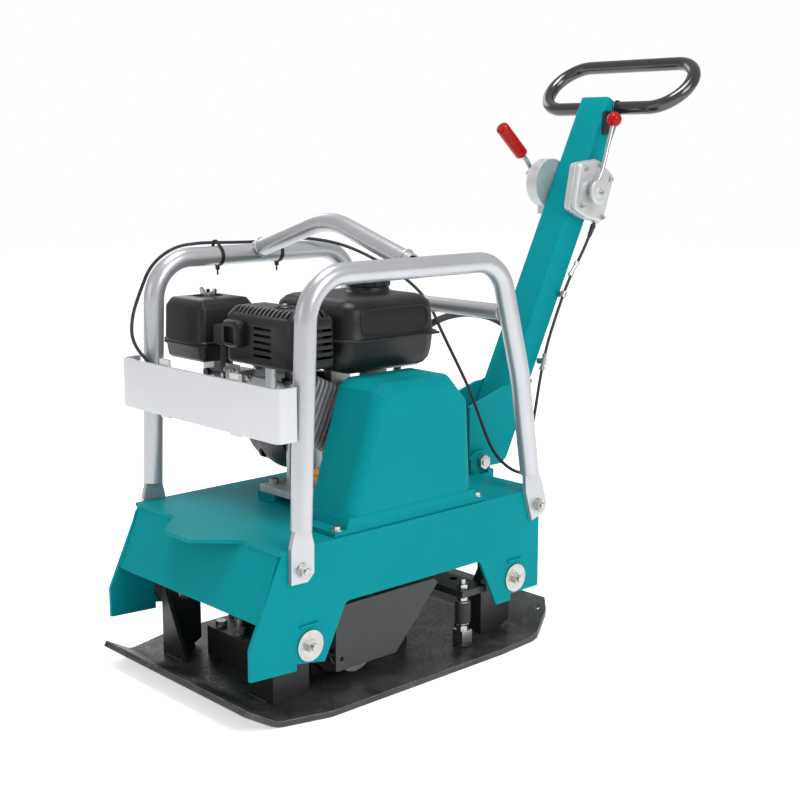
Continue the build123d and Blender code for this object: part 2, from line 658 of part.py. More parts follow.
def make_crankcase():
    """Crankcase with feet, tank posts and the finned cylinder cast in one piece."""
    with BuildPart() as crankcase:
        add_polygon(side_plane(-CASE_HALF), [(-44, 284), (118, 284), (118, 420), (84, 462), (-44, 462)], 2 * CASE_HALF, corner=14)
        add_box((-84, -84, ENGINE_BASE_Z), (84, 112, ENGINE_BASE_Z + 12))
        with BuildSketch(cylinder_plane(40)) as core:
            with Locations((4, 0)):
                RectangleRounded(96, 92, 14)
        extrude(core.sketch, amount=108)
        for index in range(8):
            with BuildSketch(cylinder_plane(74 + 9.4 * index)) as fin:
                with Locations((4, 0)):
                    RectangleRounded(122, 112, 10)
            extrude(fin.sketch, amount=3.2)
        for x in (-58, 38):
            add_box((x, 40, 440), (x + 20, 84, TANK_LOW[2]))
        add_disc((60, -30, 331), (0, -1, 0), 15, 32)
        add_disc((-44, CRANK_Y, CRANK_Z), (1, 0, 0), 62, 88, mode=Mode.SUBTRACT)
        bore = CRANK_RADIUS + RUNNING_CLEARANCE
        add_disc((-80, CRANK_Y, CRANK_Z), (1, 0, 0), bore, 160, mode=Mode.SUBTRACT)
        with BuildSketch(cylinder_plane(40)) as cylinder_bore:
            Circle(34)
        extrude(cylinder_bore.sketch, amount=130, mode=Mode.SUBTRACT)
        for x, y in ENGINE_BOLTS:
            add_disc((x, y, ENGINE_BASE_Z), (0, 0, 1), 5, 14, mode=Mode.SUBTRACT)
    save(crankcase, "crankcase")


def make_cylinder_head():
    """Finned head with the rocker cover on its end."""
    with BuildPart() as cylinder_head:
        for index in range(4):
            with BuildSketch(cylinder_plane(148.5 + 9.4 * index)) as fin:
                with Locations((4, 0)):
                    RectangleRounded(118, 106, 10)
            extrude(fin.sketch, amount=4)
        with BuildSketch(cylinder_plane(148.2)) as core:
            with Locations((4, 0)):
                RectangleRounded(92, 84, 12)
        extrude(core.sketch, amount=36)
        with BuildSketch(cylinder_plane(184)) as cover:
            with Locations((4, -6)):
                RectangleRounded(84, 66, 16)
        extrude(cover.sketch, amount=22)
        fillet(cylinder_head.faces().filter_by(CYLINDER_PLANE).sort_by(Axis.Y)[0].edges(), 5)
    save(cylinder_head, "cylinder_head")


def make_fan_housing():
    """Blower shroud round the flywheel, with a scroll that leads air to the cylinder."""
    scroll = [(CRANK_Y, CRANK_Z, FAN_RADIUS), (-40, 448, 42)]
    with BuildPart() as fan_housing:
        add_hull(side_plane(-140), scroll, 79)
        fillet(fan_housing.faces().sort_by(Axis.X)[0].edges(), 10)
        inner = [(y, z, radius - 4) for y, z, radius in scroll]
        add_hull(side_plane(-135), inner, 80, mode=Mode.SUBTRACT)
        add_disc((-150, CRANK_Y, CRANK_Z), (1, 0, 0), 62, 40, mode=Mode.SUBTRACT)
        add_box((-86, -84, 280), (-60, 112, 297), mode=Mode.SUBTRACT)
    save(fan_housing, "fan_housing")


def make_recoil_cover():
    with BuildPart() as recoil_cover:
        add_disc((-140, CRANK_Y, CRANK_Z), (-1, 0, 0), 86, 38)
        fillet(recoil_cover.faces().sort_by(Axis.X)[0].edges(), 12)
        add_box((-174, 86, 404), (-142, 118, 436))
        add_disc((-139, CRANK_Y, CRANK_Z), (-1, 0, 0), 80, 35, mode=Mode.SUBTRACT)
        x, y, z = GRIP_EXIT
        add_disc((x, y + 4, z), (0, -1, 0), 3.4, 64, mode=Mode.SUBTRACT)
        with BuildSketch(Plane(origin=(-170, CRANK_Y, CRANK_Z), x_dir=(0, 1, 0), z_dir=(-1, 0, 0))) as slots:
            with PolarLocations(46, 14):
                RectangleRounded(34, 7, 3)
        extrude(slots.sketch, amount=20, mode=Mode.SUBTRACT)
    save(recoil_cover, "recoil_cover")


def make_starter_grip():
    """Grip and the length of rope that stands in its guide."""
    with BuildPart() as starter_grip:
        x, y, z = GRIP_EXIT
        add_polygon(
            side_plane(x - 7),
            [(y + 5, z - 12), (y + 5, z + 12), (y + 18, z + 36), (y + 28, z + 36), (y + 28, z - 36), (y + 18, z - 36)],
            14, corner=4,
        )
        add_disc((x, y + 8, z), (0, -1, 0), 2.5, 34)
    save(starter_grip, "starter_grip")


def make_crankshaft():
    """Crankshaft with two webs, heavier below the axis."""
    with BuildPart() as crankshaft:
        add_disc((-130, CRANK_Y, CRANK_Z), (1, 0, 0), CRANK_RADIUS, 112)
        add_disc((18, CRANK_Y, CRANK_Z), (1, 0, 0), CRANK_RADIUS, 148)
        add_disc((-20, CRANK_Y, CRANK_Z + 27), (1, 0, 0), 15, 40)
        web = [(-22, 38), (22, 38), (30, 0), (44, -30), (22, -52), (-22, -52), (-44, -30), (-30, 0)]
        points = [(CRANK_Y + y, CRANK_Z + z) for y, z in web]
        for x in (-36, 18):
            add_polygon(side_plane(x), points, 18, corner=6)
    save(crankshaft, "crankshaft")


def make_flywheel():
    with BuildPart() as flywheel:
        add_ring((-120, CRANK_Y, CRANK_Z), (1, 0, 0), 78, CRANK_RADIUS, 18)
        with BuildSketch(side_plane(-128)) as blades:
            with Locations((CRANK_Y, CRANK_Z)):
                with PolarLocations(70, 16):
                    Rectangle(24, 3)
        extrude(blades.sketch, amount=9)
    save(flywheel, "flywheel")


def make_clutch_pulley():
    """Centrifugal clutch drum with the engine's V pulley on it."""
    with BuildPart() as clutch_pulley:
        add_pulley(CRANK_Y, CRANK_Z, CLUTCH_PITCH_RADIUS, 13, CRANK_RADIUS)
        add_ring((108, CRANK_Y, CRANK_Z), (1, 0, 0), 52, CRANK_RADIUS, 30)
        add_ring((163, CRANK_Y, CRANK_Z), (1, 0, 0), 20, CRANK_RADIUS, 3)
    save(clutch_pulley, "clutch_pulley")


def make_fuel_tank():
    with BuildPart() as fuel_tank:
        add_box(TANK_LOW, TANK_HIGH)
        fillet(fuel_tank.edges().filter_by(Axis.Z), 34)
        fillet(fuel_tank.faces().sort_by(Axis.Z)[-1].edges(), 30)
        fillet(fuel_tank.faces().sort_by(Axis.Z)[0].edges(), 12)
        add_disc((*FUEL_CAP_CENTRE, 600), (0, 0, 1), 34, 34)
        offset_low = [a + 3 for a in TANK_LOW]
        offset_high = [b - 3 for b in TANK_HIGH]
        with BuildPart(mode=Mode.PRIVATE) as hollow:
            Box(*[b - a for a, b in zip(offset_low, offset_high)])
            fillet(hollow.edges().filter_by(Axis.Z), 31)
            fillet(hollow.faces().sort_by(Axis.Z)[-1].edges(), 27)
            fillet(hollow.faces().sort_by(Axis.Z)[0].edges(), 9)
        middle = [(a + b) / 2 for a, b in zip(offset_low, offset_high)]
        add(hollow.part.moved(Location(tuple(middle))), mode=Mode.SUBTRACT)
        add_disc((*FUEL_CAP_CENTRE, 610), (0, 0, 1), 25, 40, mode=Mode.SUBTRACT)
    save(fuel_tank, "fuel_tank")


def make_fuel_cap():
    x, y = FUEL_CAP_CENTRE
    with BuildPart() as fuel_cap:
        with BuildSketch(Plane.XY.offset(634.5)) as outline:
            with Locations((x, y)):
                Circle(37)
                with PolarLocations(38, 12):
                    Circle(4, mode=Mode.SUBTRACT)
        extrude(outline.sketch, amount=17)
        fillet(fuel_cap.faces().sort_by(Axis.Z)[-1].edges(), 3)
        add_disc((x, y, 619), (0, 0, 1), 24.5, 18)
    save(fuel_cap, "fuel_cap")


def make_muffler():
    """Muffler can with its stub down to the cylinder head."""
    with BuildPart() as muffler:
        add_polygon(side_plane(-58), [(-145, 535), (-78, 535), (-78, 594), (-145, 594)], 144, corner=18)
        add_disc((30, -112, 522), (0, 0, 1), 17, 20)
    save(muffler, "muffler")


def make_muffler_guard():
    """Slotted guard over the muffler, open below and behind."""
    low_x, low_y, low_z = MUFFLER_LOW
    high_x, high_y, high_z = MUFFLER_HIGH
    section = [(high_y, low_z), (high_y, high_z), (low_y + 22, high_z), (low_y, high_z - 26), (low_y, low_z)]
    inside = [(high_y + 1, low_z - 1), (high_y + 1, high_z - 3), (low_y + 23, high_z - 3), (low_y + 3, high_z - 27),
              (low_y + 3, low_z - 1)]
    with BuildPart() as muffler_guard:
        add_polygon(side_plane(low_x), section, high_x - low_x)
        ends = [edge for edge in muffler_guard.edges() if abs(edge.center().Z - low_z) > 5 and
                (edge.center().X < low_x + 1 or edge.center().X > high_x - 1) and edge.center().Y < high_y - 1]
        fillet(ends, 8)
        add_polygon(side_plane(low_x + 3), inside, high_x - low_x - 6, mode=Mode.SUBTRACT)
        for x in range(-60, 100, 15):
            add_box((x, low_y + 30, high_z - 5), (x + 7, high_y - 14, high_z + 5), mode=Mode.SUBTRACT)
            add_box((x, low_y - 5, 534), (x + 7, low_y + 5, 576), mode=Mode.SUBTRACT)
        for y in range(-140, -80, 13):
            add_box((high_x - 5, y, 536), (high_x + 5, y + 6, 586), mode=Mode.SUBTRACT)
        add_disc((22, -112, high_z - 2), (0, 0, 1), 17, 8)
    save(muffler_guard, "muffler_guard")


def make_plug_cap():
    """Moulded spark plug cap standing between the air cleaner and the muffler guard."""
    with BuildPart() as plug_cap:
        with BuildSketch(Plane(origin=(-103, -136, 560), x_dir=(1, 0, 0), z_dir=(0, -1, 0))) as outline:
            RectangleRounded(30, 34, 8)
        extrude(outline.sketch, amount=16)
        fillet(plug_cap.faces().sort_by(Axis.Y)[0].edges(), 4)
        add_disc((-103, -137, 560), (0, 0, -1), 9, 62)
        fillet([edge for edge in plug_cap.edges().filter_by(GeomType.CIRCLE) if edge.center().Z < 500], 2)
    save(plug_cap, "plug_cap")


def make_carburettor():
    with BuildPart() as carburettor:
        add_box((-126, -130, 448), (-88, -86, 496))
        add_disc((-88, -108, 472), (1, 0, 0), 16, 32.5)
        add_disc((-126, -108, 472), (-1, 0, 0), 18, 40)
        add_disc((-107, -108, 448), (0, 0, -1), 17, 26)
        add_box((-182, -128, 454), (-150, -88, 514))
        add_disc((-116, -130, 488), (0, -1, 0), 4, 6)
        add_disc((-100, -130, 460), (0, -1, 0), 5, 6)
    save(carburettor, "carburettor")


def make_choke_lever():
    with BuildPart() as choke_lever:
        add_ring((-116, -130.3, 488), (0, -1, 0), 8, 4.05, 4)
        add_box((-160, -134.3, 485), (-123, -131.3, 491))
        add_disc((-160, -131.3, 488), (0, -1, 0), 7, 8)
    save(choke_lever, "choke_lever")


def make_fuel_valve_lever():
    with BuildPart() as fuel_valve_lever:
        add_ring((-100, -130.3, 460), (0, -1, 0), 9, 5.05, 4)
        add_box((-136, -135.3, 457), (-107, -131.3, 463))
    save(fuel_valve_lever, "fuel_valve_lever")


def make_air_cleaner():
    """Two mouldings: the base on the carburettor's elbow and the cover held by a wing nut."""
    low_x, low_y, low_z = AIR_LOW
    high_x, high_y, high_z = AIR_HIGH
    x, y = WING_NUT_XY
    with BuildPart() as air_cleaner_base:
        add_box((low_x + 3, low_y + 3, low_z), (high_x - 3, high_y - 3, AIR_SPLIT_Z))
        fillet(air_cleaner_base.edges().filter_by(Axis.Z), 18)
        fillet(air_cleaner_base.faces().sort_by(Axis.Z)[0].edges(), 8)
        add_disc((x, y, AIR_SPLIT_Z), (0, 0, 1), 3.2, high_z - AIR_SPLIT_Z + 16)
    save(air_cleaner_base, "air_cleaner_base")
    with BuildPart() as air_cleaner_cover:
        add_box((low_x, low_y, AIR_SPLIT_Z), (high_x, high_y, high_z))
        fillet(air_cleaner_cover.edges().filter_by(Axis.Z), 20)
        fillet(air_cleaner_cover.faces().sort_by(Axis.Z)[-1].edges(), 14)
        with BuildPart(mode=Mode.PRIVATE) as hollow:
            Box(high_x - low_x - 6, high_y - low_y - 6, high_z - AIR_SPLIT_Z - 3)
            fillet(hollow.edges().filter_by(Axis.Z), 17)
            fillet(hollow.faces().sort_by(Axis.Z)[-1].edges(), 11)
        middle = ((low_x + high_x) / 2, (low_y + high_y) / 2, (AIR_SPLIT_Z + high_z - 3) / 2)
        add(hollow.part.moved(Location(tuple(middle))), mode=Mode.SUBTRACT)
        add_disc((x, y, AIR_SPLIT_Z), (0, 0, 1), 4, 100, mode=Mode.SUBTRACT)
    save(air_cleaner_cover, "air_cleaner_cover")
    with BuildPart() as air_cleaner_nut:
        add_ring((x, y, high_z + 0.2), (0, 0, 1), 9, 3.25, 9)
        for side in (-1, 1):
            wing = [(side * 7, 1), (side * 7, 8), (side * 20, 17), (side * 24, 15), (side * 20, 4)]
            plane = Plane(origin=(x, y + 2, high_z), x_dir=(1, 0, 0), z_dir=(0, -1, 0))
            add_polygon(plane, wing, 4)
    save(air_cleaner_nut, "air_cleaner_nut")


def make_oil_cap():
    with BuildPart() as oil_cap:
        x, y, z = OIL_CAP_CENTRE
        with BuildSketch(Plane(origin=(x, y - 0.3, z), z_dir=(0, -1, 0))) as outline:
            Circle(15)
            with PolarLocations(16, 8):
                Circle(2.5, mode=Mode.SUBTRACT)
        extrude(outline.sketch, amount=10)
        add_box((x - 11, y - 17, z - 2.5), (x + 11, y - 10.3, z + 2.5))
    save(oil_cap, "oil_cap")


def make_engine_switch():
    """Rotary switch on the rear of the fan housing, facing the operator."""
    centre, outward = engine_switch_seat()
    with BuildPart() as engine_switch:
        add_disc(centre, outward, 13, 9)
        with BuildSketch(Plane(origin=centre + outward * 9, x_dir=(1, 0, 0), z_dir=outward)) as handle:
            RectangleRounded(6, 22, 2.5)
        extrude(handle.sketch, amount=8)
    save(engine_switch, "engine_switch")


# ---- drawbar and controls -----------------------------------------------------------------------------------
def make_drawbar():
    """Square tube with ears that straddle the pivot."""
    with BuildPart() as drawbar:
        with BuildSketch(DRAWBAR_PLANE) as section:
            Rectangle(DRAWBAR_WIDTH, DRAWBAR_DEPTH)
            fillet(section.vertices(), 6)
            with BuildSketch(mode=Mode.PRIVATE) as inside:
                Rectangle(DRAWBAR_WIDTH - 2 * DRAWBAR_WALL, DRAWBAR_DEPTH - 2 * DRAWBAR_WALL)
        extrude(section.sketch, amount=DRAWBAR_LENGTH)
        with BuildSketch(DRAWBAR_PLANE.offset(-5)) as bore:
            Rectangle(DRAWBAR_WIDTH - 2 * DRAWBAR_WALL, DRAWBAR_DEPTH - 2 * DRAWBAR_WALL)
        extrude(bore.sketch, amount=DRAWBAR_LENGTH, mode=Mode.SUBTRACT)
        ear = [(306, 396), (306, 290), (313, 279), (322, 277), (394, 277), (407, 287), (478, 428), (402, 424)]
        for side in (-1, 1):
            add_polygon(side_plane(side * 34.9), ear, side * 6.1)
            add_disc((side * 30, PIVOT_Y, PIVOT_Z), (side, 0, 0), PIVOT_RADIUS, 14, mode=Mode.SUBTRACT)
        add_disc((-40, GRIP_BAR_Y, GRIP_BAR_Z), (1, 0, 0), GRIP_RADIUS, 80, mode=Mode.SUBTRACT)
        front = DRAWBAR_PLANE.offset(HOSE_FITTING_ALONG)
        hole = front.origin - front.y_dir * 40
        add_disc(hole, front.y_dir, 7.2, 30, mode=Mode.SUBTRACT)
    save(drawbar, "drawbar")


def make_grip_loop():
    """Closed loop of tube, tilted up towards the operator, through the drawbar's top."""
    tilt = radians(GRIP_TILT)
    plane = Plane(
        origin=(0, GRIP_BAR_Y, GRIP_BAR_Z), x_dir=(1, 0, 0), z_dir=(0, -sin(tilt), cos(tilt)),
    )
    half = GRIP_HALF_STRAIGHT
    height = 2 * GRIP_END_RADIUS
    with BuildPart() as grip_loop:
        with BuildLine(plane) as route:
            bottom = Line((0, 0), (half, 0))
            JernArc(bottom @ 1, (1, 0), GRIP_END_RADIUS, 180)
            top = Line((half, height), (-half, height))
            JernArc(top @ 1, (-1, 0), GRIP_END_RADIUS, 180)
            Line((-half, 0), (0, 0))
        path = route.wire()
        with BuildSketch(Plane(origin=(0, GRIP_BAR_Y, GRIP_BAR_Z), z_dir=(1, 0, 0))) as section:
            Circle(GRIP_RADIUS)
            Circle(GRIP_RADIUS - 2.5, mode=Mode.SUBTRACT)
        sweep(section.sketch, path=path)
    save(grip_loop, "grip_loop")


def make_throttle_box():
    """Cast box on the drawbar's near side with a round boss for the lever."""
    outline = [(566, 752), (583, 838), (640, 844), (688, 812), (656, 722), (604, 734)]
    x, y, z = THROTTLE_PIVOT
    with BuildPart() as throttle_box:
        add_polygon(side_plane(35), outline, 26, corner=12)
        fillet(throttle_box.faces().sort_by(Axis.X)[-1].edges(), 5)
        add_disc((60, y, z), (1, 0, 0), 24, 7)
        add_disc((60, y, z), (1, 0, 0), 5, 24)
        add_disc((80.6, y, z), (1, 0, 0), 24, 4)
        start = Vector(*CABLE_ON_DRAWBAR[0])
        along = (Vector(*CABLE_ON_DRAWBAR[1]) - start).normalized()
        add_disc(start - along * 16, along, 6, 16)
    save(throttle_box, "throttle_box")


def make_throttle_lever():
    """Lever rod on a hub, bent to stand up beside the drawbar."""
    x, y, z = THROTTLE_PIVOT
    with BuildPart() as throttle_lever:
        add_ring((67.5, y, z), (1, 0, 0), 15, 5.05, 10)
        add_tube([(74, y + 2, z + 12), (76, 630, 826), (76, 658, 909)], [60], 4, 2)
    save(throttle_lever, "throttle_lever")


def make_throttle_knob():
    with BuildPart() as throttle_knob:
        with Locations((76, 662, 921)):
            Sphere(14.5)
        along = Vector(0, 28, 83).normalized()
        add_disc(Vector(76, 658, 909) - along * 20, along, 4, 20, mode=Mode.SUBTRACT)
    save(throttle_knob, "throttle_knob")


def make_shift_box():
    """Round cast box on the drawbar's far side, holding the shift valve."""
    x, y, z = SHIFT_PIVOT
    with BuildPart() as shift_box:
        add_disc((-35, y, z), (-1, 0, 0), 48, 30)
        fillet(shift_box.faces().sort_by(Axis.X)[0].edges(), 8)
        add_disc((-60, y, z), (-1, 0, 0), 22, 8)
        add_disc((-60, y, z), (-1, 0, 0), 6, 28)
        add_box((-58, 596, 738), (-38, 624, 760))
    save(shift_box, "shift_box")


def make_shift_lever():
    x, y, z = SHIFT_PIVOT
    with BuildPart() as shift_lever:
        add_ring((-68.5, y, z), (-1, 0, 0), 15, 6.05, 16)
        add_tube([(-77, y - 4, z + 12), (-78, 583, 842), (-78, 566, 857)], [8], 5, 2.5)
    save(shift_lever, "shift_lever")


def make_shift_grip():
    along = Vector(0, -17, 15).normalized()
    start = Vector(-78, 570, 853.5)
    with BuildPart() as shift_grip:
        with BuildSketch(Plane(origin=start, z_dir=along)) as outline:
            Circle(13)
        extrude(outline.sketch, amount=82)
        fillet(shift_grip.edges().filter_by(GeomType.CIRCLE), 5)
        add_disc(start - along * 5, along, 5.7, 17, mode=Mode.SUBTRACT)
    save(shift_grip, "shift_grip")


# ---- held cords ---------------------------------------------------------------------------------------------
def make_cords():
    with BuildPart() as throttle_cable_drawbar:
        add_cord(CABLE_ON_DRAWBAR, CABLE_DIAMETER, "throttle_cable_drawbar")
    save(throttle_cable_drawbar, "throttle_cable_drawbar")
    with BuildPart() as throttle_cable_deck:
        add_cord(CABLE_ON_DECK, CABLE_DIAMETER, "throttle_cable_deck")
    save(throttle_cable_deck, "throttle_cable_deck")
    with BuildPart() as shift_hose:
        add_cord(HOSE_ROUTE, HOSE_DIAMETER, "shift_hose")
    save(shift_hose, "shift_hose")


def make_cable_clips():
    """Two clips on the drawbar's near face and the hose fitting on its front."""
    with BuildPart() as cable_clips:
        for before, after in (CABLE_ON_DRAWBAR[3:5], CABLE_ON_DRAWBAR[5:7]):
            middle = (Vector(*before) + Vector(*after)) / 2
            along = (Vector(*after) - Vector(*before)).normalized()
            add_ring(middle - along * 6, along, 6, 3.4, 12)
            add_box((35, middle.Y - 5, middle.Z - 5), (middle.X - 3.6, middle.Y + 5, middle.Z + 5))
        front = DRAWBAR_PLANE.offset(HOSE_FITTING_ALONG)
        face = front.origin - front.y_dir * (DRAWBAR_DEPTH / 2)
        add_disc(face, -front.y_dir, 11, 14)
        add_disc(face + front.y_dir * 6, -front.y_dir, 7, 10)
        add_hexagon(face - front.y_dir * 14, -front.y_dir, 20, 10)
    save(cable_clips, "cable_clips")


def make_cable_ties():
    """Ties that hold the cable to the far side guard."""
    with BuildPart() as cable_ties:
        for index in TIE_RUNS:
            middle = (Vector(*CABLE_ON_DECK[index]) + Vector(*CABLE_ON_DECK[index + 1])) / 2
            plane = Plane(origin=(0, middle.Y + 3, 0), x_dir=(1, 0, 0), z_dir=(0, -1, 0))
            outer = [(-HOOP_X, HOOP_TOP_Z, TUBE_RADIUS + 1.8), (middle.X, middle.Z, 5.2)]
            inner = [(-HOOP_X, HOOP_TOP_Z, TUBE_RADIUS + 0.2), (middle.X, middle.Z, 3.6)]
            add_hull(plane, outer, 6)
            add_hull(plane, inner, 6, mode=Mode.SUBTRACT)
    save(cable_ties, "cable_ties")


make_base_plate()
make_mount_brackets()
make_exciter_housing()
make_exciter_covers()
make_exciter_bearings()
make_eccentric_shaft(DRIVE_Y, BELT_X + 14, "drive_eccentric_shaft")
make_eccentric_shaft(DRIVEN_Y, 115.5, "driven_eccentric_shaft")
make_timing_gear(DRIVE_Y, 0, "drive_gear")
make_timing_gear(DRIVEN_Y, 180 / GEAR_TEETH, "driven_gear")
make_exciter_pulley()
make_lower_belt_guard()
make_limiter_bar()
make_base_fasteners()
make_side_plate(1, "side_plate_left")
make_side_plate(-1, "side_plate_right")
make_deck_plate()
make_rubber_buffers()
make_deck_fasteners()
make_hoop(1, "hoop_left")
make_hoop(-1, "hoop_right")
make_lifting_bail()
make_rear_cross_tube()
make_bumper()
make_belt_cover()
make_drive_belt()
make_crankcase()
make_cylinder_head()
make_fan_housing()
make_recoil_cover()
make_starter_grip()
make_crankshaft()
make_flywheel()
make_clutch_pulley()
make_fuel_tank()
make_fuel_cap()
make_muffler()
make_muffler_guard()
make_plug_cap()
make_carburettor()
make_choke_lever()
make_fuel_valve_lever()
make_air_cleaner()
make_oil_cap()
make_engine_switch()
make_drawbar()
make_grip_loop()
make_throttle_box()
make_throttle_lever()
make_throttle_knob()
make_shift_box()
make_shift_lever()
make_shift_grip()
make_cords()
make_cable_clips()
make_cable_ties()
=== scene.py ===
"""Looks for the reversible plate compactor: materials, cords, weld beads, light and camera."""

import json
import math

import bmesh
import bpy
from mathutils import Matrix, Vector, noise


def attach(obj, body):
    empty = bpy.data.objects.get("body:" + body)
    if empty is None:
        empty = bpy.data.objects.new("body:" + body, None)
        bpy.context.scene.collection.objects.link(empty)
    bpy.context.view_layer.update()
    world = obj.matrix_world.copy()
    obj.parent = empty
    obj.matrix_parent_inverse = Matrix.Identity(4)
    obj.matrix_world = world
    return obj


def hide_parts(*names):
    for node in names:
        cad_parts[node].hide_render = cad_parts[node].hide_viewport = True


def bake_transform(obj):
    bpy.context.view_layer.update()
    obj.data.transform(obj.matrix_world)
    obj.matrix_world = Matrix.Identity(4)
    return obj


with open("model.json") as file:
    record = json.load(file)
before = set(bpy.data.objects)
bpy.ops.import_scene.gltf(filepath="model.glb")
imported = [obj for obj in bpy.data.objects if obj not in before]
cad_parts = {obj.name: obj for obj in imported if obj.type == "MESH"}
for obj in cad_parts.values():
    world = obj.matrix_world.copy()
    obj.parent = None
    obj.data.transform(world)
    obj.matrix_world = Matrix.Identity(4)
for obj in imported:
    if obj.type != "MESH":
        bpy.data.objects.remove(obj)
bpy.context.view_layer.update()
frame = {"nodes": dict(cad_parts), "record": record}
nodes = frame["nodes"]

MM = 0.001

# Places in millimetres that several pieces share.
UP = (0, 0, 1)
FORWARD = (0, -1, 0)
SIDES = (("left", 1), ("right", -1))
FILLER = (8, 88)  # x and y of the fuel cap's axis
FILTER_STUD = (-191, -108)  # x and y of the air cleaner's stud
HOOD_SCREW = (30, -112)  # x and y of the screw on the silencer cover
LIMITER = (168, 162)  # x and y of the sleeved travel limiter
CRANK = (37, 389)  # y and z of the crankshaft's axis
EXCITER_SHAFT = (-80, 64)  # y and z of the exciter shaft that carries the belt pulley
THROTTLE_PIVOT = (612, 783)  # y and z
SHIFT_PIVOT = (612, 798)  # y and z
LEAN_COS, LEAN_SIN = 0.9063, 0.4226  # the cylinder leans back by 25 degrees


# ---- materials --------------------------------------------------------------------------------
def scaled(colour, factor):
    """A colour made brighter or darker, with full opacity."""
    return tuple(min(1.0, max(0.0, value * factor)) for value in colour[:3]) + (1.0,)


def surface(
    name, colour, rough=0.4, metallic=0.0, coat=0.0, vary=0.06, vary_scale=7.0, rough_vary=0.08,
    grain=500.0, grain_height=0.00003, edge_colour=None, edge_amount=0.5, edge_radius=0.0012,
    dust_colour=None, dust_amount=0.0, speckle=None, specular=0.5,
):
    """A node material with broad and fine variation, rounded edges, optional lighter edges that are partly
    real wear and partly a painted highlight, and dust.
    """
    material = bpy.data.materials.new(name)
    material.use_nodes = True
    tree = material.node_tree
    tree.nodes.clear()
    new, link = tree.nodes.new, tree.links.new
    output = new("ShaderNodeOutputMaterial")
    shader = new("ShaderNodeBsdfPrincipled")
    shader.inputs["Metallic"].default_value = metallic
    shader.inputs["Coat Weight"].default_value = coat
    shader.inputs["Specular IOR Level"].default_value = specular
    shader.inputs["Coat Roughness"].default_value = 0.12
    link(shader.outputs[0], output.inputs[0])
    place = new("ShaderNodeTexCoord")

    def noise_at(scale, detail=4.0, roughness=0.55):
        node = new("ShaderNodeTexNoise")
        node.inputs["Scale"].default_value = scale
        node.inputs["Detail"].default_value = detail
        node.inputs["Roughness"].default_value = roughness
        link(place.outputs["Object"], node.inputs["Vector"])
        return node.outputs["Fac"]

    def ranged(value, low, high, to_low, to_high):
        node = new("ShaderNodeMapRange")
        node.inputs["From Min"].default_value = low
        node.inputs["From Max"].default_value = high
        node.inputs["To Min"].default_value = to_low
        node.inputs["To Max"].default_value = to_high
        link(value, node.inputs["Value"])
        return node.outputs["Result"]

    def mixed(factor, first, second):
        node = new("ShaderNodeMix")
        node.data_type = "RGBA"
        link(factor, node.inputs["Factor"])
        for socket, value in ((node.inputs[6], first), (node.inputs[7], second)):
            if isinstance(value, tuple):
                socket.default_value = value
            else:
                link(value, socket)
        return node.outputs[2]

    def times(first, second):
        node = new("ShaderNodeMath")
        node.operation = "MULTIPLY"
        link(first, node.inputs[0])
        link(second, node.inputs[1])
        return node.outputs[0]

    broad = noise_at(vary_scale, 5.0)
    fine = noise_at(grain, 3.0)
    tone = mixed(ranged(broad, 0.3, 0.7, 0.0, 1.0), scaled(colour, 1.0 - vary), scaled(colour, 1.0 + vary))
    if speckle:
        spots = ranged(noise_at(speckle[1], 6.0, 0.7), 0.55, 0.68, 0.0, speckle[2])
        tone = mixed(spots, tone, scaled(speckle[0], 1.0))
    bevel = new("ShaderNodeBevel")
    bevel.samples = 4
    bevel.inputs["Radius"].default_value = edge_radius
    # Lighter edges: partly real wear (strongest on the sole plate) and partly a painted highlight along
    # edges.
    if edge_colour:
        shape = new("ShaderNodeNewGeometry")
        dot = new("ShaderNodeVectorMath")
        dot.operation = "DOT_PRODUCT"
        link(bevel.outputs[0], dot.inputs[0])
        link(shape.outputs["True Normal"], dot.inputs[1])
        edges = ranged(dot.outputs["Value"], 0.80, 0.985, edge_amount, 0.0)
        wear_and_painted_highlight = times(edges, ranged(noise_at(60.0, 6.0), 0.35, 0.65, 0.2, 1.0))
        tone = mixed(wear_and_painted_highlight, tone, scaled(edge_colour, 1.0))
    if dust_colour:
        up = new("ShaderNodeSeparateXYZ")
        side = new("ShaderNodeNewGeometry")
        link(side.outputs["Normal"], up.inputs[0])
        lying = ranged(up.outputs["Z"], 0.2, 1.0, 0.15, 1.0)
        patches = ranged(noise_at(14.0, 8.0, 0.7), 0.38, 0.72, 0.0, dust_amount)
        tone = mixed(times(lying, patches), tone, scaled(dust_colour, 1.0))
    link(tone, shader.inputs["Base Color"])
    link(ranged(fine, 0.3, 0.7, max(0.02, rough - rough_vary), min(1.0, rough + rough_vary)),
         shader.inputs["Roughness"])
    bump = new("ShaderNodeBump")
    bump.inputs["Strength"].default_value = 1.0
    bump.inputs["Distance"].default_value = grain_height
    link(fine, bump.inputs["Height"])
    link(bevel.outputs[0], bump.inputs["Normal"])
    link(bump.outputs[0], shader.inputs["Normal"])
    return material


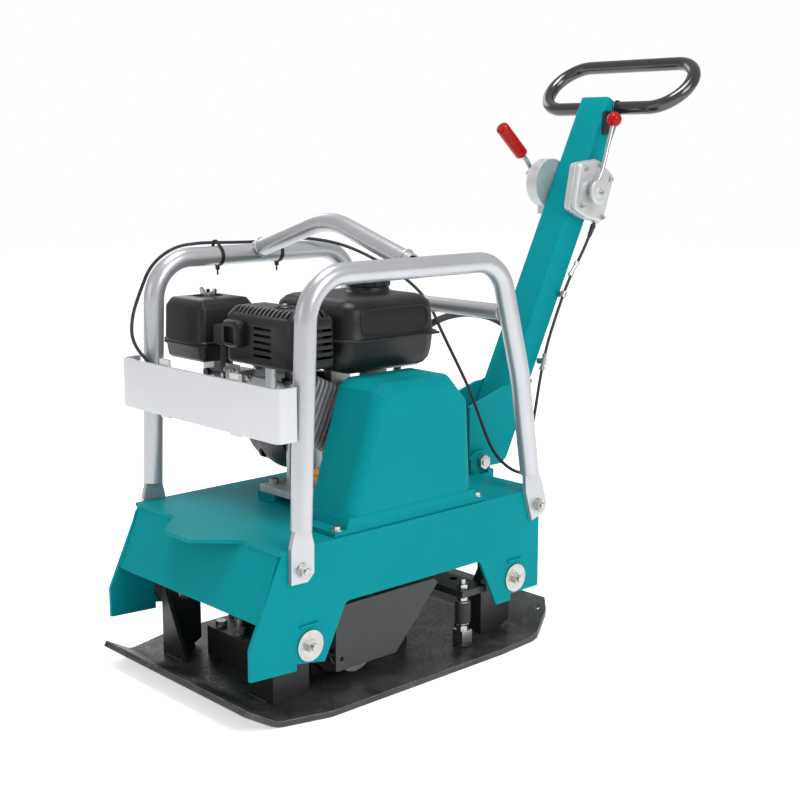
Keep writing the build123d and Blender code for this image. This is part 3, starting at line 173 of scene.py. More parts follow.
LOOK = {
    "teal_paint": surface(
        "teal_paint", (0.002, 0.232, 0.262), rough=0.40, vary=0.05, vary_scale=4.0, grain=900.0,
        grain_height=0.00002, edge_colour=(0.02, 0.42, 0.44), edge_amount=0.5, edge_radius=0.0018,
        dust_colour=(0.02, 0.24, 0.26), dust_amount=0.10, specular=0.03),
    "sole_steel": surface(
        "sole_steel", (0.032, 0.033, 0.036), rough=0.40, metallic=0.30, vary=0.40, vary_scale=7.0,
        rough_vary=0.18, grain=260.0, grain_height=0.00014, edge_colour=(0.30, 0.29, 0.28),
        edge_amount=0.9, edge_radius=0.0034, dust_colour=(0.20, 0.185, 0.17), dust_amount=0.42,
        speckle=((0.12, 0.11, 0.10), 26.0, 0.65)),
    "dark_paint": surface(
        "dark_paint", (0.020, 0.021, 0.023), rough=0.40, metallic=0.10, vary=0.15, vary_scale=12.0,
        grain=500.0, grain_height=0.00006, edge_colour=(0.13, 0.13, 0.13), edge_amount=0.6,
        edge_radius=0.0016, dust_colour=(0.11, 0.105, 0.10), dust_amount=0.22),
    "silver_paint": surface(
        "silver_paint", (0.48, 0.49, 0.51), rough=0.30, metallic=0.66, vary=0.04, vary_scale=9.0,
        rough_vary=0.03, grain=1100.0, grain_height=0.000003, edge_colour=(0.80, 0.80, 0.81),
        edge_amount=0.4, edge_radius=0.0012),
    "bumper_paint": surface(
        "bumper_paint", (0.58, 0.59, 0.61), rough=0.34, metallic=0.72, vary=0.04, vary_scale=6.0,
        grain=900.0, grain_height=0.000005, edge_colour=(0.85, 0.85, 0.85), edge_amount=0.5,
        edge_radius=0.0014),
    "machined_steel": surface(
        "machined_steel", (0.48, 0.48, 0.49), rough=0.30, metallic=1.0, vary=0.08, vary_scale=30.0,
        grain=700.0, grain_height=0.00003, edge_radius=0.0006),
    "zinc_steel": surface(
        "zinc_steel", (0.47, 0.47, 0.45), rough=0.30, metallic=1.0, vary=0.10, vary_scale=60.0,
        grain=900.0, grain_height=0.00002, edge_radius=0.0007, speckle=((0.34, 0.31, 0.25), 90.0, 0.5)),
    "rubber_black": surface(
        "rubber_black", (0.016, 0.016, 0.017), rough=0.58, vary=0.15, vary_scale=25.0, grain=700.0,
        grain_height=0.00005, edge_radius=0.0010),
    "cast_alloy": surface(
        "cast_alloy", (0.56, 0.57, 0.58), rough=0.42, metallic=0.55, vary=0.14, vary_scale=22.0,
        rough_vary=0.12, grain=650.0, grain_height=0.00016, edge_colour=(0.62, 0.63, 0.64),
        edge_amount=0.6, edge_radius=0.0012, speckle=((0.26, 0.26, 0.26), 70.0, 0.35)),
    "engine_black": surface(
        "engine_black", (0.011, 0.011, 0.012), rough=0.36, coat=0.05, specular=0.32, vary=0.12,
        vary_scale=15.0, grain=800.0, grain_height=0.00004, edge_colour=(0.06, 0.06, 0.06),
        edge_amount=0.4, edge_radius=0.0012),
    "muffler_steel": surface(
        "muffler_steel", (0.060, 0.054, 0.048), rough=0.5, metallic=0.6, vary=0.3, vary_scale=20.0,
        grain=500.0, grain_height=0.00006, speckle=((0.12, 0.08, 0.05), 50.0, 0.4)),
    "black_plastic": surface(
        "black_plastic", (0.010, 0.010, 0.011), rough=0.38, specular=0.34, vary=0.10, vary_scale=12.0,
        grain=1300.0, grain_height=0.00005, edge_colour=(0.05, 0.05, 0.052), edge_amount=0.35,
        edge_radius=0.0014),
    "orange_plastic": surface(
        "orange_plastic", (0.95, 0.36, 0.02), rough=0.34, vary=0.06, vary_scale=40.0, grain=1200.0,
        grain_height=0.00002, edge_radius=0.0010),
    "red_plastic": surface(
        "red_plastic", (0.36, 0.004, 0.006), rough=0.22, coat=0.08, specular=0.16, vary=0.06,
        vary_scale=30.0, grain=1200.0, grain_height=0.00001, edge_radius=0.0010),
    "cast_white": surface(
        "cast_white", (0.53, 0.54, 0.55), rough=0.40, metallic=0.45, vary=0.07, vary_scale=25.0,
        grain=600.0, grain_height=0.00010, edge_colour=(0.88, 0.88, 0.88), edge_amount=0.5,
        edge_radius=0.0020),
    "black_tube": surface(
        "black_tube", (0.070, 0.070, 0.074), rough=0.15, metallic=0.85, coat=0.4, vary=0.10,
        vary_scale=12.0, grain=900.0, grain_height=0.00002, edge_radius=0.0010),
}

for part in frame["record"]["subparts"]:
    shape = nodes[part["node"]]
    shape.data.materials.clear()
    shape.data.materials.append(LOOK[part["material_slot"]])


# ---- helpers for new pieces -------------------------------------------------------------------
def finish_piece(piece, body, slot, replaced=()):
    """Gives a piece the material named by its slot and lets it ride on a body."""
    piece.data.materials.clear()
    piece.data.materials.append(LOOK[slot])
    if body:
        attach(piece, body)
    if replaced:
        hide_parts(*replaced)
    return piece


def smooth(mesh):
    """Shades every face smooth."""
    for face in mesh.polygons:
        face.use_smooth = True


def cord_object(name, points_mm, radius, resolution=12):
    """A smooth round cord through a route, as a curve object."""
    curve = bpy.data.curves.new(name, "CURVE")
    curve.dimensions = "3D"
    curve.bevel_depth = radius
    curve.bevel_resolution = 4
    curve.resolution_u = resolution
    curve.use_fill_caps = True
    line = curve.splines.new("NURBS")
    line.points.add(len(points_mm) - 1)
    for point, (x, y, z) in zip(line.points, points_mm):
        point.co = (x * MM, y * MM, z * MM, 1.0)
    line.use_endpoint_u = True
    line.order_u = 3
    piece = bpy.data.objects.new(name, curve)
    bpy.context.scene.collection.objects.link(piece)
    return piece


def as_mesh(piece):
    """The same piece as a plain mesh object."""
    bpy.context.view_layer.update()
    graph = bpy.context.evaluated_depsgraph_get()
    mesh = bpy.data.meshes.new_from_object(piece.evaluated_get(graph))
    name = piece.name
    bpy.data.objects.remove(piece)
    made = bpy.data.objects.new(name, mesh)
    bpy.context.scene.collection.objects.link(made)
    smooth(mesh)
    return made


# ---- mesh helpers -----------------------------------------------------------------------------
def mesh_object(name, points_mm, faces):
    """A mesh object from points in millimetres, with its normals turned outwards."""
    mesh = bpy.data.meshes.new(name)
    mesh.from_pydata([tuple(value * MM for value in point) for point in points_mm], [], faces)
    shape = bmesh.new()
    shape.from_mesh(mesh)
    bmesh.ops.recalc_face_normals(shape, faces=shape.faces)
    shape.to_mesh(mesh)
    shape.free()
    piece = bpy.data.objects.new(name, mesh)
    bpy.context.scene.collection.objects.link(piece)
    return piece


def outline(low_x, high_x, low_y, high_y, radius, inset=0.0, segments=7):
    """A rounded rectangle as points, drawn in by inset, always with the same number of points."""
    low_x, high_x, low_y, high_y = low_x + inset, high_x - inset, low_y + inset, high_y - inset
    radius = max(1.0, radius - inset)
    corners = [
        (high_x - radius, low_y + radius, -90), (high_x - radius, high_y - radius, 0),
        (low_x + radius, high_y - radius, 90), (low_x + radius, low_y + radius, 180),
    ]
    points = []
    for x, y, start in corners:
        for step in range(segments + 1):
            angle = math.radians(start + 90 * step / segments)
            points.append((x + radius * math.cos(angle), y + radius * math.sin(angle)))
    return points


def loft(name, levels, place=Matrix.Identity(4)):
    """A closed skin through outlines at rising heights, given as (height, outline)."""
    count = len(levels[0][1])
    points = [tuple(place @ Vector((x, y, height))) for height, ring in levels for x, y in ring]
    faces = [tuple(range(count))[::-1], tuple(range(len(points) - count, len(points)))]
    for level in range(len(levels) - 1):
        base = level * count
        for index in range(count):
            after = (index + 1) % count
            faces.append((base + index, base + after, base + count + after, base + count + index))
    return mesh_object(name, points, faces)


def block(name, low, high):
    """A box between two corners."""
    (a, b, c), (d, e, f) = low, high
    points = [(a, b, c), (d, b, c), (d, e, c), (a, e, c), (a, b, f), (d, b, f), (d, e, f), (a, e, f)]
    faces = [(0, 3, 2, 1), (4, 5, 6, 7), (0, 1, 5, 4), (1, 2, 6, 5), (2, 3, 7, 6), (3, 0, 4, 7)]
    return mesh_object(name, points, faces)


def joined(name, parts):
    """Several mesh objects as one."""
    shape = bmesh.new()
    for part in parts:
        part.data.transform(part.matrix_world)
        shape.from_mesh(part.data)
        bpy.data.objects.remove(part)
    mesh = bpy.data.meshes.new(name)
    shape.to_mesh(mesh)
    shape.free()
    piece = bpy.data.objects.new(name, mesh)
    bpy.context.scene.collection.objects.link(piece)
    return piece


def cut(piece, cutter):
    """Takes one mesh away from another for good."""
    tool = piece.modifiers.new("cut", "BOOLEAN")
    tool.operation = "DIFFERENCE"
    tool.solver = "EXACT"
    tool.object = cutter
    return settled(piece, [cutter])


def settled(piece, spent=()):
    """Applies a piece's modifiers and removes what they used."""
    bpy.context.view_layer.update()
    graph = bpy.context.evaluated_depsgraph_get()
    mesh = bpy.data.meshes.new_from_object(piece.evaluated_get(graph))
    piece.modifiers.clear()
    piece.data = mesh
    for other in spent:
        bpy.data.objects.remove(other)
    return piece


def softened(piece, width=0.0012, segments=3, angle=28):
    """Rounds a piece's edges and shades it smooth."""
    tool = piece.modifiers.new("round", "BEVEL")
    tool.width = width
    tool.segments = segments
    tool.limit_method = "ANGLE"
    tool.angle_limit = math.radians(angle)
    tool.harden_normals = False
    settled(piece)
    smooth(piece.data)
    piece.data.set_sharp_from_angle(angle=math.radians(40))
    return piece


def hollowed(piece, thickness):
    """Turns a closed skin into a shell with a wall of this many millimetres."""
    tool = piece.modifiers.new("wall", "SOLIDIFY")
    tool.thickness = thickness * MM
    tool.offset = -1.0
    return settled(piece)


def turned(name, profile, centre, direction, segments=28):
    """A solid of revolution from (radius, height) pairs, standing at a centre along a direction."""
    axis = Vector(direction).normalized()
    spin = axis.to_track_quat("Z", "Y").to_matrix()
    points, faces = [], []
    for radius, height in profile:
        for step in range(segments):
            angle = 2 * math.pi * step / segments
            local = Vector((radius * math.cos(angle), radius * math.sin(angle), height))
            points.append(tuple(spin @ local + Vector(centre)))
    for level in range(len(profile) - 1):
        for step in range(segments):
            after = (step + 1) % segments
            base = level * segments
            faces.append((base + step, base + after, base + segments + after, base + segments + step))
    faces.append(tuple(range(segments))[::-1])
    last = (len(profile) - 1) * segments
    faces.append(tuple(range(last, last + segments)))
    piece = mesh_object(name, points, faces)
    smooth(piece.data)
    piece.data.set_sharp_from_angle(angle=math.radians(35))
    return piece


def hex_bolt(name, seat, direction, flats=13.0, washer=9.0):
    """A hex head with a chamfered top on a washer."""
    axis = Vector(direction).normalized()
    corner = flats * 0.577
    head = turned(name + "_head", [(corner, 1.6), (corner, 6.0), (flats * 0.49, 7.2)], seat, axis, 6)
    ring = turned(name + "_washer", [(washer, 0.0), (washer, 1.3), (washer - 0.5, 1.7)], seat, axis, 24)
    piece = joined(name, [head, ring])
    piece.data.set_sharp_from_angle(angle=math.radians(25))
    return piece


def weld_bead(name, points_mm, radius, body, slot, closed=False):
    """A rippled bead laid along straight runs."""
    route = [Vector(point) for point in points_mm]
    if closed:
        route.append(route[0].copy())
    places = []
    for start, end in zip(route, route[1:]):
        steps = max(1, int((end - start).length / 1.3))
        places += [start.lerp(end, step / steps) for step in range(steps)]
    places.append(route[-1])
    points, faces, travelled = [], [], 0.0
    sides = 8
    for index, place in enumerate(places):
        before = places[max(0, index - 1)]
        after = places[min(len(places) - 1, index + 1)]
        along = (after - before).normalized()
        aside = along.orthogonal() if abs(along.z) > 0.9 else along.cross(Vector(UP))
        aside.normalize()
        upward = aside.cross(along)
        travelled += (place - before).length
        ripple = 0.84 + 0.16 * abs(math.sin(math.pi * travelled / 3.4)) + 0.10 * noise.noise(place * 0.21)
        if not closed and index in (0, len(places) - 1):
            ripple *= 0.45
        for side in range(sides):
            angle = 2 * math.pi * side / sides
            offset = aside * math.cos(angle) + upward * math.sin(angle)
            points.append(tuple(place + offset * radius * ripple))
    for index in range(len(places) - 1):
        base = index * sides
        for side in range(sides):
            after = (side + 1) % sides
            faces.append((base + side, base + after, base + sides + after, base + sides + side))
    faces.append(tuple(range(sides))[::-1])
    faces.append(tuple(range(len(points) - sides, len(points))))
    piece = mesh_object(name, points, faces)
    smooth(piece.data)
    return finish_piece(piece, body, slot)


def ring_points(centre, axis, radius, count=28):
    """Points of a circle round an axis."""
    axis = Vector(axis).normalized()
    aside = axis.orthogonal().normalized()
    other = axis.cross(aside)
    turns = [2 * math.pi * step / count for step in range(count)]
    return [tuple(Vector(centre) + radius * (aside * math.cos(t) + other * math.sin(t))) for t in turns]


# ---- fuel tank --------------------------------------------------------------------------------
def tank_ring(inset):
    return outline(-105, 120, -60, 170, 46, inset)


tank = loft("fuel_tank_skin", [
    (500, tank_ring(44)), (501.5, tank_ring(34)), (507, tank_ring(23)), (516, tank_ring(15)),
    (530, tank_ring(11)), (556, tank_ring(8)), (556.3, tank_ring(1)), (557, tank_ring(0.2)),
    (559.4, tank_ring(0.2)), (560, tank_ring(1)), (560.3, tank_ring(8)), (588, tank_ring(10)),
    (606, tank_ring(12.5)), (612, tank_ring(15)), (620, tank_ring(25)), (624, tank_ring(38)),
    (625.2, tank_ring(56)),
])
softened(tank, 0.0012, 2, 30)
neck = turned("fuel_tank_neck", [(43, 619), (41, 625), (36, 627.5), (34, 633.6), (30, 634)],
              (*FILLER, 0), UP, 48)
finish_piece(neck, "deck", "black_plastic")
finish_piece(tank, "deck", "black_plastic", ("fuel_tank",))
for label, x in (("near", 119.0), ("far", -104.0)):
    strap = joined("tank_tab_" + label, [block("tab", (x - 6, 120, 556.5), (x + 0.8, 150, 560.5))])
    finish_piece(softened(strap, 0.001), "deck", "black_plastic")

RIB = [
    (111.2, -16, 570), (109.6, -20, 586), (108.2, -16, 602), (107.4, -4, 607), (107.4, 60, 607),
    (107.4, 118, 607), (108.2, 128, 602), (109.6, 132, 586), (111.2, 128, 570), (111.8, 118, 566),
    (111.8, 60, 566), (111.8, -4, 566), (111.2, -16, 570),
]
finish_piece(cord_object("tank_rib", RIB, 0.0019), "deck", "black_plastic")

# ---- air cleaner ------------------------------------------------------------------------------
def filter_ring(inset):
    return outline(-249.6, -125, -171, -46, 17, inset)


filter_base = loft("air_cleaner_pan", [
    (508, filter_ring(22)), (509, filter_ring(14)), (514, filter_ring(8)), (534, filter_ring(5)),
    (534.6, filter_ring(1.4)), (535.4, filter_ring(0.6)), (538.5, filter_ring(0.6)),
    (538.8, filter_ring(1.4)),
])
stud = turned("filter_stud", [(3.2, 0), (3.2, 92), (2.4, 93)], (*FILTER_STUD, 534), UP, 20)
filter_base = joined("air_cleaner_pan", [softened(filter_base, 0.0010, 2, 24), stud])
filter_cover = loft("air_cleaner_hood", [
    (539.2, filter_ring(1.6)), (539.6, filter_ring(0.8)), (542.5, filter_ring(0.8)),
    (543.2, filter_ring(1.6)),
    (544, filter_ring(3.4)), (598, filter_ring(5.5)), (601, filter_ring(6.5)), (612, filter_ring(15)),
    (614, filter_ring(18)), (615.5, filter_ring(30)), (616, filter_ring(44)),
])
dish = turned("filter_dish", [(25.6, 611.8), (29, 618)], (*FILTER_STUD, 0), UP, 40)
cut(filter_cover, dish)
stud_hole = turned("stud_hole", [(3.9, 600), (3.9, 620)], (*FILTER_STUD, 0), UP, 20)
cut(filter_cover, stud_hole)
finish_piece(filter_base, "deck", "black_plastic", ("air_cleaner_base",))
finish_piece(softened(filter_cover, 0.0010, 2, 24), "deck", "black_plastic", ("air_cleaner_cover",))

# ---- silencer cover ---------------------------------------------------------------------------
def cover_ring(inset):
    return outline(-80, 110, -160, -65, 22, inset)


hood = loft("silencer_hood", [
    (521, cover_ring(3)), (524, cover_ring(1)), (596, cover_ring(1.5)), (599, cover_ring(3)),
    (611, cover_ring(15)), (613, cover_ring(19)), (613.5, cover_ring(24)),
])
hollowed(hood, 3.0)
slots = []
for index in range(13):
    x = -52 + 11.2 * index
    slots.append(block("slot", (x, -159, 602.5), (x + 5.4, -139.5, 620)))
for index in range(7):
    y = -140 + 11.2 * index
    slots.append(block("slot", (88.5, y, 602.5), (112, y + 5.4, 620)))
for index in range(5):
    z = 536 + 11.0 * index
    slots.append(block("slot", (100, -132, z), (116, -72, z + 4.6)))
    slots.append(block("slot", (6, -166, z), (52, -152, z + 4.6)))
cut(hood, joined("slots", slots))
softened(hood, 0.0007, 2, 30)
finish_piece(hood, "deck", "engine_black", ("muffler_guard",))

outlet_levels = []
for depth, grow in ((-153, 0.0), (-158, 1.0), (-172, 0.0), (-176, -3.0)):
    outlet_levels.append((depth, outline(-62 - grow, -14 + grow, 548 - grow, 592 + grow, 14)))
into_front = Matrix(((1, 0, 0, 0), (0, 0, 1, 0), (0, 1, 0, 0), (0, 0, 0, 1)))
outlet = loft("silencer_outlet", outlet_levels, into_front)
mouth = block("mouth", (-52, -180, 555), (-24, -166, 582))
cut(outlet, mouth)
finish_piece(softened(outlet, 0.0016, 3, 28), "deck", "engine_black")
recess = turned("hood_recess", [(17, 613.0), (16.4, 615.4), (13.2, 615.4), (11, 612.6)],
                (*HOOD_SCREW, 0), UP, 36)
finish_piece(recess, "deck", "engine_black")
finish_piece(hex_bolt("hood_screw", (*HOOD_SCREW, 612.8), UP, 8, 7), "deck", "zinc_steel")

# ---- weld beads -------------------------------------------------------------------------------
for label, side in SIDES:
    bail_axis = (side * 204, 0, -64)
    weld_bead("bail_weld_" + label, ring_points((side * 187, 8, 694), bail_axis, 16.0), 2.3, "deck",
              "silver_paint", True)
    weld_bead("cross_weld_" + label, ring_points((side * 187.6, 231, 592), (1, 0, 0), 14.0), 2.1, "deck",
              "silver_paint", True)
    for end, y in (("front", -206), ("rear", 260)):
        x = side * 145
        weld_bead(f"bracket_weld_{label}_{end}", [(x, y - 30, 11), (x, y + 20, 11)], 3.2, "base",
                  "dark_paint")
        weld_bead(f"gusset_weld_{label}_{end}", [(side * 92, y - 40, 11), (x - side * 4, y - 40, 11)],
                  2.8, "base", "dark_paint")
for label, x in (("right", -35.6), ("left", 35.6)):
    weld_bead("grip_weld_" + label, ring_points((x, 722, 944), (1, 0, 0), 14.2), 2.0, "drawbar",
              "black_tube", True)

# ---- engine details ---------------------------------------------------------------------------
def on_cylinder(x, aside, along):
    """A point given by its distances across and along the cylinder's axis."""
    y, z = CRANK
    return (x, y - LEAN_COS * along + LEAN_SIN * aside, z + LEAN_SIN * along + LEAN_COS * aside)


CYLINDER_AXIS = (0, -LEAN_COS, LEAN_SIN)
for index, (x, aside) in enumerate(((-30, -30), (38, -30), (-30, 18), (38, 18))):
    bolt = hex_bolt(f"rocker_bolt_{index}", on_cylinder(x, aside, 205.6), CYLINDER_AXIS, 8, 6.5)
    finish_piece(bolt, "deck", "zinc_steel")
for index, (x, aside) in enumerate(((-46, -46), (54, -46), (-46, 46), (54, 46))):
    stud = turned(f"head_stud_{index}", [(6.2, 0), (6.2, 9), (5.4, 10), (3.6, 10.2), (3.6, 15)],
                  on_cylinder(x, aside, 180.6), CYLINDER_AXIS, 6)
    finish_piece(stud, "deck", "zinc_steel")
port = turned("exhaust_stub", [(21, 0), (21, 5), (15, 6.5), (15, 30)], (42, -104, 494), (0, -0.1, 1), 28)
finish_piece(port, "deck", "muffler_steel")

for index, x in enumerate((-44, -15, 15, 44)):
    rib = block(f"case_rib_{index}", (x - 2, -51, 300), (x + 2, -41, 418))
    finish_piece(softened(rib, 0.0012), "deck", "cast_alloy")
finish_piece(hex_bolt("drain_bolt", (-30, -44, 308), FORWARD, 14, 10), "deck", "zinc_steel")
finish_piece(hex_bolt("level_bolt", (28, -44, 392), FORWARD, 11, 8), "deck", "zinc_steel")
boss = turned("oil_boss", [(19, 0), (19, 3), (17, 5)], (60, -57, 331), FORWARD, 32)
finish_piece(boss, "deck", "cast_alloy")

post = turned("hood_post", [(11, 0), (11, 3), (9, 4), (9, 56), (8, 57)], (37, -148, 464), UP, 32)
finish_piece(post, "deck", "cast_alloy")
holder = block("stop_bracket", (-88, -148.5, 462), (-50, -145, 514))
finish_piece(softened(holder, 0.0012), "deck", "zinc_steel")
for index, x in enumerate((-80, -60)):
    finish_piece(hex_bolt(f"stop_bolt_{index}", (x, -148.6, 504), FORWARD, 9, 7), "deck", "zinc_steel")
plate = block("governor_plate", (-98, -42, 463), (-30, 2, 466))
finish_piece(softened(plate, 0.0012), "deck", "zinc_steel")
for index, (x, y) in enumerate(((-84, -30), (-46, -10))):
    finish_piece(hex_bolt(f"governor_bolt_{index}", (x, y, 466), UP, 9, 7), "deck", "zinc_steel")
LINK_ROUTE = [(-62, -28, 469), (-78, -50, 484), (-98, -74, 492), (-114, -90, 490)]
link = cord_object("governor_link", LINK_ROUTE, 0.0012)
finish_piece(link, "deck", "zinc_steel")

coil = []
first, last = Vector((-52, -34, 470)), Vector((-98, -96, 499))
run = last - first
across = run.cross(Vector(UP)).normalized()
over = across.cross(run).normalized()
COIL_TURNS, COIL_STEPS = 14, 96
for step in range(COIL_STEPS + 1):
    share = step / COIL_STEPS
    reach = 3.4 if 0.08 < share < 0.92 else 0.4
    angle = share * 2 * math.pi * COIL_TURNS
    coil.append(tuple(first + run * share + reach * (across * math.cos(angle) + over * math.sin(angle))))
finish_piece(cord_object("governor_spring", coil, 0.0006, 3), "deck", "zinc_steel")

FUEL_LINE = [(-70, -32, 504), (-76, -44, 496), (-92, -62, 488), (-104, -76, 478), (-107, -88, 474)]
finish_piece(cord_object("fuel_line", FUEL_LINE, 0.0036), "deck", "rubber_black")
LEAD = [
    (-103, -137, 503), (-101, -142, 478), (-96, -132, 440), (-90, -100, 412), (-88, -66, 402),
    (-90, -50, 400),
]
finish_piece(cord_object("ignition_lead", LEAD, 0.0034), "deck", "rubber_black")
BREATHER = [(-140, -70, 524), (-122, -62, 512), (-96, -48, 494), (-74, -34, 476), (-66, -26, 462)]
finish_piece(cord_object("breather_hose", BREATHER, 0.0050), "deck", "rubber_black")
CLIPS = (("a", (-74, -38, 500), (-0.6, -1, -0.8)), ("b", (-105, -82, 475), (-0.2, -1, -0.5)))
CLIP_PROFILE = [(4.0, -2.5), (4.7, -2.5), (4.7, 2.5), (4.0, 2.5)]
for label, place, heading in CLIPS:
    clip = turned("fuel_clip_" + label, CLIP_PROFILE, place, heading, 24)
    finish_piece(clip, "deck", "zinc_steel")

for index, angle in enumerate((40, 130, 220, 310)):
    turn_by = math.radians(angle)
    y, z = CRANK[0] + 86 * math.cos(turn_by), CRANK[1] + 86 * math.sin(turn_by)
    lug = turned(f"recoil_lug_{index}", [(9.5, 0), (9.5, 7), (8.7, 8)], (-139.5, y, z), (-1, 0, 0), 24)
    finish_piece(lug, "deck", "engine_black")
    finish_piece(hex_bolt(f"recoil_bolt_{index}", (-147.4, y, z), (-1, 0, 0), 8, 7), "deck", "zinc_steel")
hub = turned("recoil_hub", [(25, 0), (25, 2.0), (23, 3.6), (13, 3.8), (12, 2.6), (3, 2.4)],
             (-177.6, *CRANK), (-1, 0, 0), 40)
finish_piece(hub, "deck", "engine_black")

ferrule = turned("cable_ferrule", [(3.2, -12), (4.3, -11.6), (4.3, 0), (3.3, 0.4), (3.3, 3), (1.2, 3.4)],
                 (-147, -183.4, 486.4), (0.55, 0.80, -0.25), 20)
finish_piece(ferrule, "deck", "zinc_steel")
WIRE = [(-146, -182, 486), (-138, -168, 481), (-128, -148, 476), (-121, -129, 474)]
finish_piece(cord_object("throttle_wire", WIRE, 0.0008), "deck", "zinc_steel")

# ---- rubber buffers and the base --------------------------------------------------------------
for side_name, side in SIDES:
    for end_name, y, z in (("front", -206, 112), ("rear", 260, 118)):
        profile = [
            (12, 0.0), (29, 0.0), (29, 2.4), (27.4, 3.0), (26.0, 8), (24.6, 14), (24.2, 19.5), (24.6, 25),
            (26.0, 31), (27.4, 36.0), (29, 36.6), (29, 39.0), (12, 39.0),
        ]
        buffer = turned(f"buffer_{side_name}_{end_name}", profile, (side * 155, y, z), (side, 0, 0), 48)
        finish_piece(buffer, None, "rubber_black", ("rubber_buffers",))
        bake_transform(buffer)
sleeve = turned("limiter_sleeve", [(13.1, 0), (14.2, 0.8), (14.2, 37.2), (13.1, 38)],
                (*LIMITER, 51), UP, 32)
finish_piece(sleeve, "base", "rubber_black")
weld_bead("limiter_weld", [(60, 82.6, 11.5), (96, 82.6, 11.5)], 2.6, "base", "dark_paint")
weld_bead("post_weld", ring_points((*LIMITER, 12), UP, 15.5, 16), 2.2, "base", "dark_paint", True)
for label, side in SIDES:
    weld_bead("guard_weld_" + label, [(side * 101, -189, 11.5), (side * 101, -128, 11.5)], 2.4, "base",
              "dark_paint")

# ---- deck and drawbar details -----------------------------------------------------------------
for label, side in SIDES:
    for kind, start, end, radius, body in (
        ("rail_weld_", (87, -86, 272), (87, 116, 272), 2.0, "deck"),
        ("rail_end_weld_", (40, -89, 272), (84, -89, 272), 2.0, "deck"),
        ("apron_weld_", (193.6, -264, 260), (193.6, -300, 168), 2.2, "deck"),
        ("lug_weld_", (52.4, 302, 272), (52.4, 320, 272), 2.0, "deck"),
        ("ear_weld_", (37.5, 422, 426), (37.5, 477, 429), 2.0, "drawbar"),
        ("ear_side_weld_", (37.5, 404, 291), (37.5, 475, 424), 2.0, "drawbar"),
    ):
        run = [(side * x, y, z) for x, y, z in (start, end)]
        weld_bead(kind + label, run, radius, body, "teal_paint")

for index, (y, z) in enumerate(((586, 757), (598, 828), (640, 833), (672, 806), (650, 733))):
    screw = hex_bolt(f"throttle_screw_{index}", (60.8, y, z), (1, 0, 0), 6.5, 5)
    finish_piece(screw, "drawbar", "zinc_steel")
EDGE = [(564, 751), (581, 840), (641, 846), (690, 813), (657, 720), (604, 732)]
seam = mesh_object(
    "throttle_seam",
    [(47, y, z) for y, z in EDGE] + [(50, y, z) for y, z in EDGE],
    [tuple(range(6)), tuple(range(6, 12))] + [(i, (i + 1) % 6, 6 + (i + 1) % 6, 6 + i) for i in range(6)])
seam_tool = seam.modifiers.new("corner", "BEVEL")
seam_tool.width = 0.010
seam_tool.segments = 6
seam_tool.limit_method = "ANGLE"
seam_tool.angle_limit = math.radians(20)
finish_piece(settled(seam), "drawbar", "cast_white")
dish = turned("throttle_dish", [(23.4, 0), (23.4, 1.2), (21.6, 2.2), (10, 1.4), (8.6, 3.6), (4, 3.9)],
              (84.4, *THROTTLE_PIVOT), (1, 0, 0), 40)
finish_piece(dish, "drawbar", "cast_white")
finish_piece(hex_bolt("throttle_centre", (88.0, *THROTTLE_PIVOT), (1, 0, 0), 7, 5), "drawbar", "zinc_steel")
for index, angle in enumerate((30, 150, 270)):
    turn_by = math.radians(angle)
    y, z = SHIFT_PIVOT[0] + 39 * math.cos(turn_by), SHIFT_PIVOT[1] + 39 * math.sin(turn_by)
    boss = turned(f"shift_boss_{index}", [(8, 0), (8, 3), (7, 4)], (-62.5, y, z), (-1, 0, 0), 20)
    finish_piece(boss, "drawbar", "cast_white")
    finish_piece(hex_bolt(f"shift_screw_{index}", (-66.4, y, z), (-1, 0, 0), 7, 5.5), "drawbar", "zinc_steel")
BOOT_PROFILE = [
    (4.4, -3), (5.2, -2), (5.2, 4), (4.6, 5), (4.9, 10), (4.2, 11), (4.4, 17), (3.4, 24),
]
boot = turned("cable_boot", BOOT_PROFILE, (50, 638, 716.6), (0, -0.488, -0.873), 24)
finish_piece(boot, "drawbar", "rubber_black")
BARREL_PROFILE = [
    (3.4, -17), (4.9, -16), (4.9, -10), (3.9, -9.4), (3.9, 9.4), (5.6, 10), (5.6, 16), (3.4, 17),
]
BARRELS = (((49.3, 583, 635), (-0.03, -0.61, -0.79)), ((48, 501, 461), (0, -0.27, -0.96)))
for index, (place, heading) in enumerate(BARRELS):
    barrel = turned(f"cable_barrel_{index}", BARREL_PROFILE, place, heading, 24)
    finish_piece(barrel, "drawbar", "zinc_steel")
block_end = block("grip_block", (34.6, 676, 892), (39.5, 704, 938))
finish_piece(softened(block_end, 0.003), "drawbar", "black_plastic")

for label, y in (("rear", 53), ("front", -77)):
    head = block("tie_head_" + label, (-208, y - 3, 657.5), (-202, y + 3, 663.5))
    tail = block("tie_tail_" + label, (-205.9, y - 1.7, 648), (-204.4, y + 1.7, 660))
    finish_piece(softened(joined("tie_" + label, [head, tail]), 0.0006, 2), "deck", "black_plastic")

for label, y, z in (("front", -224, 238), ("rear", 310, 243)):
    for side_name, side in SIDES:
        stud = turned(f"guard_stud_{label}_{side_name}", [(6, 0), (6, 2.6), (5.2, 3.4)], (side * 218.0, y, z),
                      (side, 0, 0), 20)
        finish_piece(stud, "deck", "zinc_steel")


